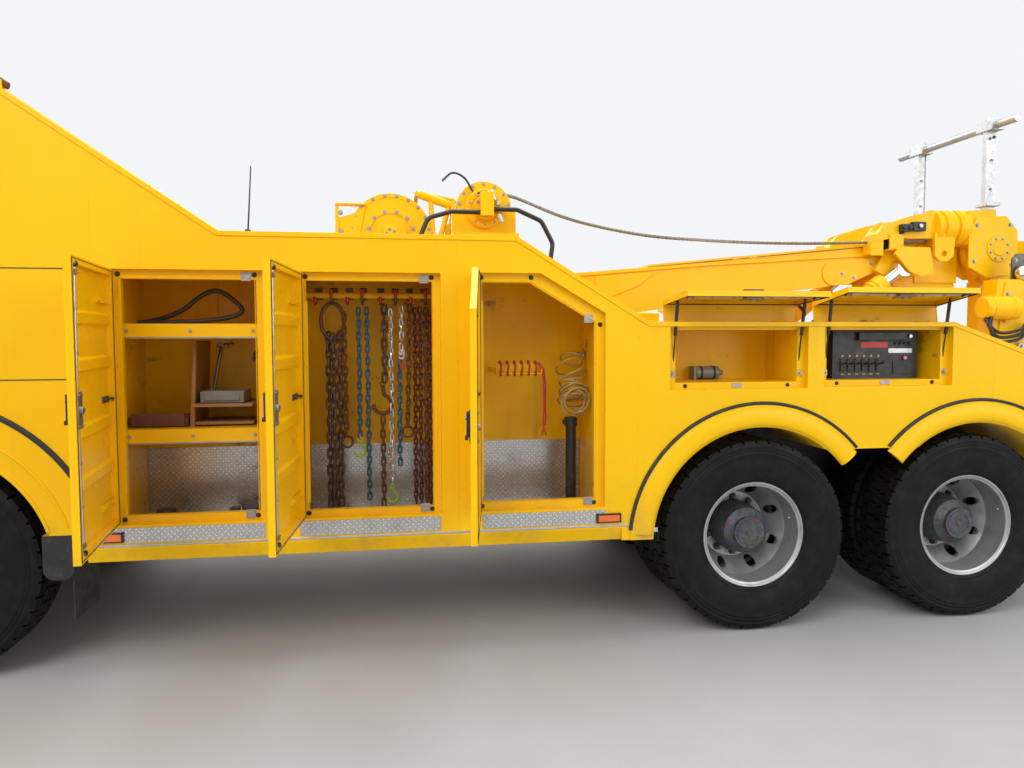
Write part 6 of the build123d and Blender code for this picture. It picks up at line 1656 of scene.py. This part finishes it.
def lamp_frames():
    """Frames round the side markers, tail lamps and headlamps, and the headlamps' reflectors."""
    bezel = Form()
    for x0, x1 in ((-1.154, -1.044), (1.364, 1.480)):
        for a, b, c, d in ((x0 - 0.010, x1 + 0.010, 0.7155, 0.7225), (x0 - 0.010, x1 + 0.010, 0.6735, 0.6805),
                           (x0 - 0.010, x0 - 0.001, 0.6735, 0.7225),
                           (x1 + 0.001, x1 + 0.010, 0.6735, 0.7225)):
            bezel.box(a, b, -1.2835, -1.2672, c, d)
    bezel.pair("marker_bezels", "black", bevel=0.0015)
    tail = Form()
    for y0, y1, z0, z1 in ((-1.232, -0.888, 1.036, 1.050), (-1.232, -0.888, 0.890, 0.904),
                           (-1.232, -1.219, 0.890, 1.050), (-0.901, -0.888, 0.890, 1.050)):
        tail.box(TAIL_X, TAIL_X + 0.048, y0, y1, z0, z1)
    for y in (-1.005, -1.115):
        tail.box(TAIL_X + 0.036, TAIL_X + 0.045, y - 0.004, y + 0.004, 0.902, 1.038)
    tail.pair("tail_lamp_frames", "black", bevel=0.002)
    head = Form()
    for y0, y1, z0, z1 in ((-1.122, -0.758, 0.853, 0.864), (-1.122, -0.758, 0.636, 0.647),
                           (-1.124, -1.113, 0.640, 0.860), (-0.767, -0.756, 0.640, 0.860)):
        head.box(-5.252, -5.200, y0, y1, z0, z1)
    head.pair("headlamp_frames", "black", bevel=0.002)
    bulbs = Form()
    for y in (-1.020, -0.860):
        bulbs.lathe([(0.0, 0.006), (0.030, 0.008), (0.058, 0.018), (0.064, 0.001), (0.070, 0.0),
                     (0.070, 0.012)],
                    (-5.239, y, 0.750), (-1, 0, 0), 32)
    bulbs.pair("headlamp_reflectors", "chrome")


def bright_rods():
    """The lock rods on doors and lids are galvanised."""
    rods = [(f"locker_door_{i}", door_turn(i), 0, DOOR_END[i] - ROD_INSET) for i in (1, 2, 3)]
    rods += [(f"locker_flap_{i}", lid_turn(i), 2, LID_FOOT[i] + GAP + LID_ROD_UP) for i in (4, 5)]
    for node, turn, axis, rod in rods:
        inverse = turn.inverted()
        for side in (LEFT, RIGHT):
            def on_rod(c):
                p = inverse @ Vector((c.x, -side * c.y, c.z))
                return rod - 0.014 < p[axis] < rod + 0.036 and FACE + 0.0075 < p.y < FACE + 0.0335
            repaint(node + HAND[side], "galv", on_rod)


# ---- cab: seats, bunk, dash and trim
CAB_FRONT, CAB_FLOOR = -5.240, 1.3553
SEAT_Y, MIRROR_BACK = 0.620, -5.0498


def stuffed(name, size, place, crown, channels, turn=None, look="seat_cloth", wings=0.0):
    """A crowned cushion: domed top, sides drawn in between its corners, sewn channels and a piped seam."""
    cuts = 18
    form = Form()
    bmesh.ops.create_cube(form.bm, size=2.0)
    bmesh.ops.subdivide_edges(form.bm, edges=form.bm.edges[:], cuts=cuts, use_grid_fill=True)
    sx, sy, sz = (s / 2 for s in size)
    for v in form.bm.verts:
        x, y, z = v.co
        power = (abs(x) ** 7 + abs(y) ** 7 + abs(z) ** 7) ** (1 / 7)
        x, y, z = x / power, y / power, z / power
        dome = (1 - x * x) * (1 - y * y)
        pull = 1 - 0.035 * (1 - y * y)
        pull_y = 1 - 0.025 * (1 - x * x)
        height = z * sz + (crown * dome if z > 0 else 0.0)
        if z > 0:
            for c in channels:
                height -= 0.011 * max(0.0, 1 - ((y - c) / 0.045) ** 2) ** 2 * min(1.0, 6 * (1 - abs(x)))
            height += wings * max(0.0, abs(y) - 0.72) * 2.4
        v.co = (x * sx * pull, y * sy * pull_y, height)
    seam = []
    for a in circle(72):
        square = 1 / (abs(cos(a)) ** 7 + abs(sin(a)) ** 7) ** (1 / 7)
        x, y = sx * 0.985 * cos(a) * square, sy * 0.985 * sin(a) * square
        seam.append((x * (1 - 0.03 * (1 - (y / sy) ** 2)), y, size[2] * 0.24))
    form.tube(seam, 0.0055, 6, closed=True)
    form.move(Matrix.Translation(place) @ (turn.to_4x4() if turn else Matrix.Identity(4)))
    form.done(name, "truck", look, smooth=60)


def seats():
    """Two seats on their bases, and the bunk's mattress behind them."""
    for side in (LEFT, RIGHT):
        hand = HAND[side]
        y = side * SEAT_Y
        stuffed(f"seat_cushion_{hand}", (0.530, 0.490, 0.120), (CAB_FRONT + 1.030, y, 1.770), 0.034,
                (-0.42, 0.0, 0.42), wings=0.018)
        lean = Matrix.Rotation(radians(-81.5), 3, "Y")
        stuffed(f"seat_back_{hand}", (0.660, 0.470, 0.105), (CAB_FRONT + 1.335, y, 2.175), 0.030,
                (-0.42, 0.0, 0.42), lean, wings=0.020)
        stuffed(f"seat_headrest_{hand}", (0.150, 0.270, 0.085), (CAB_FRONT + 1.398, y, 2.600), 0.018,
                (), lean)
        frame_form = Form()
        frame_form.box(CAB_FRONT + 0.840, CAB_FRONT + 1.240, y - 0.200, y + 0.200, 1.680, 1.706)
        frame_form.box(CAB_FRONT + 0.900, CAB_FRONT + 1.220, y - 0.170, y + 0.170, CAB_FLOOR, 1.400)
        for k in range(7):
            z = 1.410 + 0.038 * k
            frame_form.box(CAB_FRONT + 0.915, CAB_FRONT + 1.205, y - 0.158, y + 0.158, z, z + 0.026)
        frame_form.prism([(CAB_FRONT + 1.285, 1.690), (CAB_FRONT + 1.330, 1.690), (CAB_FRONT + 1.470, 2.480),
                          (CAB_FRONT + 1.430, 2.490)], y - 0.190, y + 0.190)
        for s in (-0.060, 0.060):
            frame_form.cyl((CAB_FRONT + 1.400, y + s, 2.460), (CAB_FRONT + 1.412, y + s, 2.580), 0.006, 10)
            bar_y = y + s * 4.3
            frame_form.box(CAB_FRONT + 1.060, CAB_FRONT + 1.340, bar_y - 0.020, bar_y + 0.020, 1.985, 2.015)
        frame_form.done(f"seat_frame_{hand}", "truck", "black", bevel=0.006)
    stuffed("bunk_mattress", (0.560, 2.300, 0.130), (CAB_FRONT + 1.840, 0.0, 1.900), 0.030,
            (-0.66, -0.33, 0.0, 0.33, 0.66), look="bunk_cloth")


def dash():
    """The dash with its switches and vents, the bunk's box, and the steering wheel."""
    x = CAB_FRONT
    form = Form()
    form.prism([(x + 0.185, 1.690), (x + 0.185, 2.030), (x + 0.300, 2.062), (x + 0.470, 2.078),
                (x + 0.520, 2.050), (x + 0.555, 1.985), (x + 0.578, 1.870), (x + 0.540, 1.780),
                (x + 0.400, 1.650)], -1.015, 1.015)
    form.box(x + 0.200, x + 0.420, -0.290, 0.290, CAB_FLOOR, 1.700)
    form.prism([(x + 0.330, 2.060), (x + 0.360, 2.128), (x + 0.500, 2.120), (x + 0.530, 2.040)], -0.860,
               -0.380)
    form.box(x + 1.600, x + 1.940, -0.700, 0.700, CAB_FLOOR, 1.822)
    form.box(x + 1.555, x + 2.120, -1.160, 1.160, 1.815, 1.836)
    form.done("dash", "truck", "black", bevel=0.014, segments=3, stand_for=("cab_interior",))
    parts = Form()
    for k in range(5):
        y = -0.30 + 0.15 * k
        parts.box(x + 0.552, x + 0.566, y - 0.052, y + 0.052, 1.900, 1.955)
    for y in (-0.93, -0.22, 0.22, 0.93):
        for k in range(5):
            z = 1.985 - 0.010 * k
            parts.box(x + 0.553, x + 0.562, y - 0.060, y + 0.060, z, z + 0.006)
    parts.done("dash_switches", "truck", "case_grey", bevel=0.002)
    wheel = Form()
    hub = Vector((x + 0.650, -SEAT_Y, 2.060))
    axis = Vector((170, 0, 180)).normalized()
    side = axis.orthogonal().normalized()
    up = axis.cross(side)
    wheel.tube([hub + (side * cos(a) + up * sin(a)) * 0.225 for a in circle(64)], 0.0155, 12, closed=True)
    for a in (0.5, pi - 0.5, 1.5 * pi):
        d = side * cos(a) + up * sin(a)
        spoke = [hub + d * 0.03 - axis * 0.02, hub + d * 0.12 - axis * 0.012, hub + d * 0.215]
        wheel.tube(spoke, 0.010, 8, flat=0.018)
    wheel.lathe([(0.0, 0.018), (0.050, 0.014), (0.066, 0.0), (0.066, -0.030), (0.0, -0.034)], hub, axis, 32)
    wheel.tube([hub - axis * 0.02, (x + 0.480, -SEAT_Y, 1.880)], 0.032, 20)
    wheel.done("hand_wheel", "truck", "black", smooth=50)


def cab_trim():
    """The cab's grille, plate, wipers, visor, steps, handles, rails, mirrors' glass and seams."""
    x = CAB_FRONT
    bars = Form()
    for y in (-0.560, 0.560):
        bars.box(x - 0.006, x + 0.001, y - 0.010, y + 0.010, 1.020, 1.700)
    bars.done("grille_bars", "truck", "galv", "chrome", bevel=0.003)
    mesh = Form()
    mesh.box(x + 0.088, x + 0.094, -0.845, 0.845, 1.010, 1.735)
    mesh.done("grille_screen", "truck", "black")
    plate = Form()
    plate.box(-5.3000, -5.2940, -0.270, 0.270, 0.600, 0.715)
    plate.done("number_plate_blank", "truck", "white", bevel=0.003)
    wipers = Form()
    for y0 in (-0.78, 0.02):
        wipers.cyl((x + 0.008, y0, 1.915), (x - 0.026, y0, 1.920), 0.018, 20, chamfer=0.003)
        wipers.tube([(x - 0.018, y0, 1.925), (x + 0.008, y0 + 0.30, 2.020), (x + 0.014, y0 + 0.54, 2.055)],
                    0.007, 8)
        wipers.tube([(x + 0.006, y0 + 0.12, 2.006), (x + 0.022, y0 + 0.50, 2.054),
                     (x + 0.032, y0 + 0.72, 2.080)],
                    0.006, 8, flat=0.012)
    wipers.done("wipers", "truck", "black")
    visor = Form()
    visor.prism([(x + 0.175, 2.975), (x + 0.085, 2.940), (x + 0.060, 2.925), (x + 0.066, 2.905),
                 (x + 0.190, 2.950)], -1.050, 1.050)
    visor.done("sun_visor", "truck", "lamp_smoke", bevel=0.006)
    steps = Form()
    for z0 in (0.470, 0.760, 1.080):
        steps.box(x + 0.245, x + 0.535, -1.236, -1.172, z0 + 0.002, z0 + 0.014)
        for k in range(8):
            steps.box(x + 0.262 + 0.034 * k, x + 0.276 + 0.034 * k, -1.232, -1.176, z0 + 0.014, z0 + 0.020)
    steps.pair("cab_steps", "galv", bevel=0.001)
    handle = Form()
    handle.box(x + 1.020, x + 1.180, -1.2440, -1.2385, 1.960, 2.010)
    handle.tube([(x + 1.035, -1.243, 1.985), (x + 1.045, -1.268, 1.985), (x + 1.155, -1.268, 1.985),
                 (x + 1.165, -1.243, 1.985)], 0.009, 10, flat=0.013)
    handle.cyl((x + 1.100, -1.2430, 1.935), (x + 1.100, -1.2475, 1.935), 0.012, 20)
    handle.pair("cab_handle", "black", "cab_door_l", bevel=0.003)
    line = Form()
    x0, x1 = x + 0.296, x + 1.234
    line.tube([(x0, -1.2412, 1.66), (x1, -1.2412, 1.66)], 0.0035, 6)
    line.box(x0 + 0.02, x1 - 0.02, -1.2440, -1.2395, 1.500, 1.545)
    line.pair("cab_door_moulding", "yellow", "cab_door_l", bevel=0.002)
    rails = Form()
    for xx in (x + 0.262, x + 1.272):
        rails.tube([(xx, -1.238, 1.50), (xx, -1.272, 1.52), (xx, -1.272, 2.26), (xx, -1.238, 2.28)], 0.011,
                   12)
    rails.pair("cab_grab_rails", "galv", slot="chrome", smooth=60)
    glass = Form()
    glass.box(MIRROR_BACK, MIRROR_BACK + 0.003, -1.552, -1.388, 2.140, 2.560)
    glass.box(MIRROR_BACK, MIRROR_BACK + 0.003, -1.552, -1.388, 2.590, 2.770)
    glass.pair("mirror_glass", "chrome")
    bead = Form()
    for z0, z1 in ((2.132, 2.568), (2.582, 2.778)):
        loop = [(MIRROR_BACK + 0.001, y, z) for y,
                z in ((-1.560, z0), (-1.380, z0), (-1.380, z1), (-1.560, z1))]
        bead.tube(loop, 0.005, 6, closed=True)
    bead.pair("mirror_beads", "rubber", slot="dark_plastic")
    ribs = Form()
    for z in (2.300, 3.200):
        ribs.box(x + 2.1790, x + 2.1845, -1.000, 1.000, z - 0.020, z + 0.020)
    ribs.done("cab_back_ribs", "truck", "yellow", bevel=0.002)
    seal = Form()
    seal.box(x + 1.300, x + 2.100, -1.2425, -1.2398, 1.655, 1.663)
    seal.box(x + 1.300, x + 2.100, -1.2425, -1.2398, 2.345, 2.351)
    seal.pair("cab_side_seams", "rubber")


# ---- stage
SOFT_LIGHT, SOFT_POWER = (0.93, 0.96, 1.0, 1), 0.52
BACKDROP = (0.90, 0.92, 0.94, 1)
# name, place, aim, size, power and tint of each lamp
LAMPS = (
    ("key", (-5.0, -10.0, 9.5), (0.5, -0.5, 1.0), 8.0, 880, (1.0, 0.985, 0.96)),
    ("top", (1.0, 0.5, 11.0), (0.5, 0.0, 1.0), 10.0, 800, (0.96, 0.98, 1.0)),
    ("fill", (8.0, -9.0, 4.5), (1.0, -0.5, 1.2), 7.0, 340, (1.0, 1.0, 1.0)),
    ("back", (0.0, 11.0, 7.0), (0.5, 0.0, 1.2), 8.0, 560, (0.97, 0.98, 1.0)))


def backdrop():
    """A world that lights softly, and shows white to the camera, in reflections and through glass."""
    world = bpy.data.worlds.new("studio")
    bpy.context.scene.world = world
    world.use_nodes = True
    tree = world.node_tree
    tree.nodes.clear()
    out = tree.nodes.new("ShaderNodeOutputWorld")
    soft = tree.nodes.new("ShaderNodeBackground")
    soft.inputs[0].default_value = SOFT_LIGHT
    soft.inputs[1].default_value = SOFT_POWER
    seen = tree.nodes.new("ShaderNodeBackground")
    seen.inputs[0].default_value = BACKDROP
    seen.inputs[1].default_value = 1.0
    path = tree.nodes.new("ShaderNodeLightPath")
    direct = path.outputs["Is Camera Ray"]
    for ray in ("Is Glossy Ray", "Is Transmission Ray"):
        either = tree.nodes.new("ShaderNodeMath")
        either.operation = "MAXIMUM"
        tree.links.new(direct, either.inputs[0])
        tree.links.new(path.outputs[ray], either.inputs[1])
        direct = either.outputs[0]
    mix = tree.nodes.new("ShaderNodeMixShader")
    tree.links.new(direct, mix.inputs[0])
    tree.links.new(soft.outputs[0], mix.inputs[1])
    tree.links.new(seen.outputs[0], mix.inputs[2])
    tree.links.new(mix.outputs[0], out.inputs[0])


def floor():
    """A plain concrete floor just under the tyres."""
    n = Nodes("studio_floor")
    patch = n.noise(1.2, 6.0, 0.6)
    color = n.mix(patch, (0.42, 0.42, 0.43), (0.52, 0.52, 0.53))
    color = n.mix(n.ramp(n.noise(160.0, 2.0), 0.55, 0.75, 0.0, 0.25), color, (0.30, 0.30, 0.31))
    n.done(color, 0.75, 0.0, n.bump(n.noise(180.0, 3.0), 0.3, 0.003))
    floor_form = bmesh.new()
    bmesh.ops.create_grid(floor_form, x_segments=1, y_segments=1, size=60)
    mesh = bpy.data.meshes.new("floor")
    floor_form.to_mesh(mesh)
    floor_form.free()
    obj = bpy.data.objects.new("floor", mesh)
    obj.location.z = -0.0015
    mesh.materials.append(n.mat)
    bpy.context.scene.collection.objects.link(obj)


def lamps():
    """Four area lamps aimed at the truck."""
    for name, place, aim, size, power, tint in LAMPS:
        lamp = bpy.data.lights.new(name, "AREA")
        lamp.size = size
        lamp.energy = power
        lamp.color = tint
        obj = bpy.data.objects.new(name, lamp)
        bpy.context.scene.collection.objects.link(obj)
        direction = Vector(aim) - Vector(place)
        obj.matrix_world = Matrix.Translation(place) @ direction.to_track_quat("-Z", "Y").to_matrix().to_4x4()


camera()
materials()
dress_nodes()
air_hose()
loose_cable()
backdrop()
floor()
lamps()
bpy.context.scene.view_settings.view_transform = "Standard"
wheels()
for number in (1, 2, 3):
    tall_door(number)
for number in (4, 5):
    lid(number)
door_frames()
locker_one()
locker_two()
locker_three()
locker_four()
locker_five()
winch_details()
wire_rope()
boom_details()
ram_details()
tail_details()
arches()
body_trim()
lamp_frames()
bright_rods()
seats()
dash()
cab_trim()
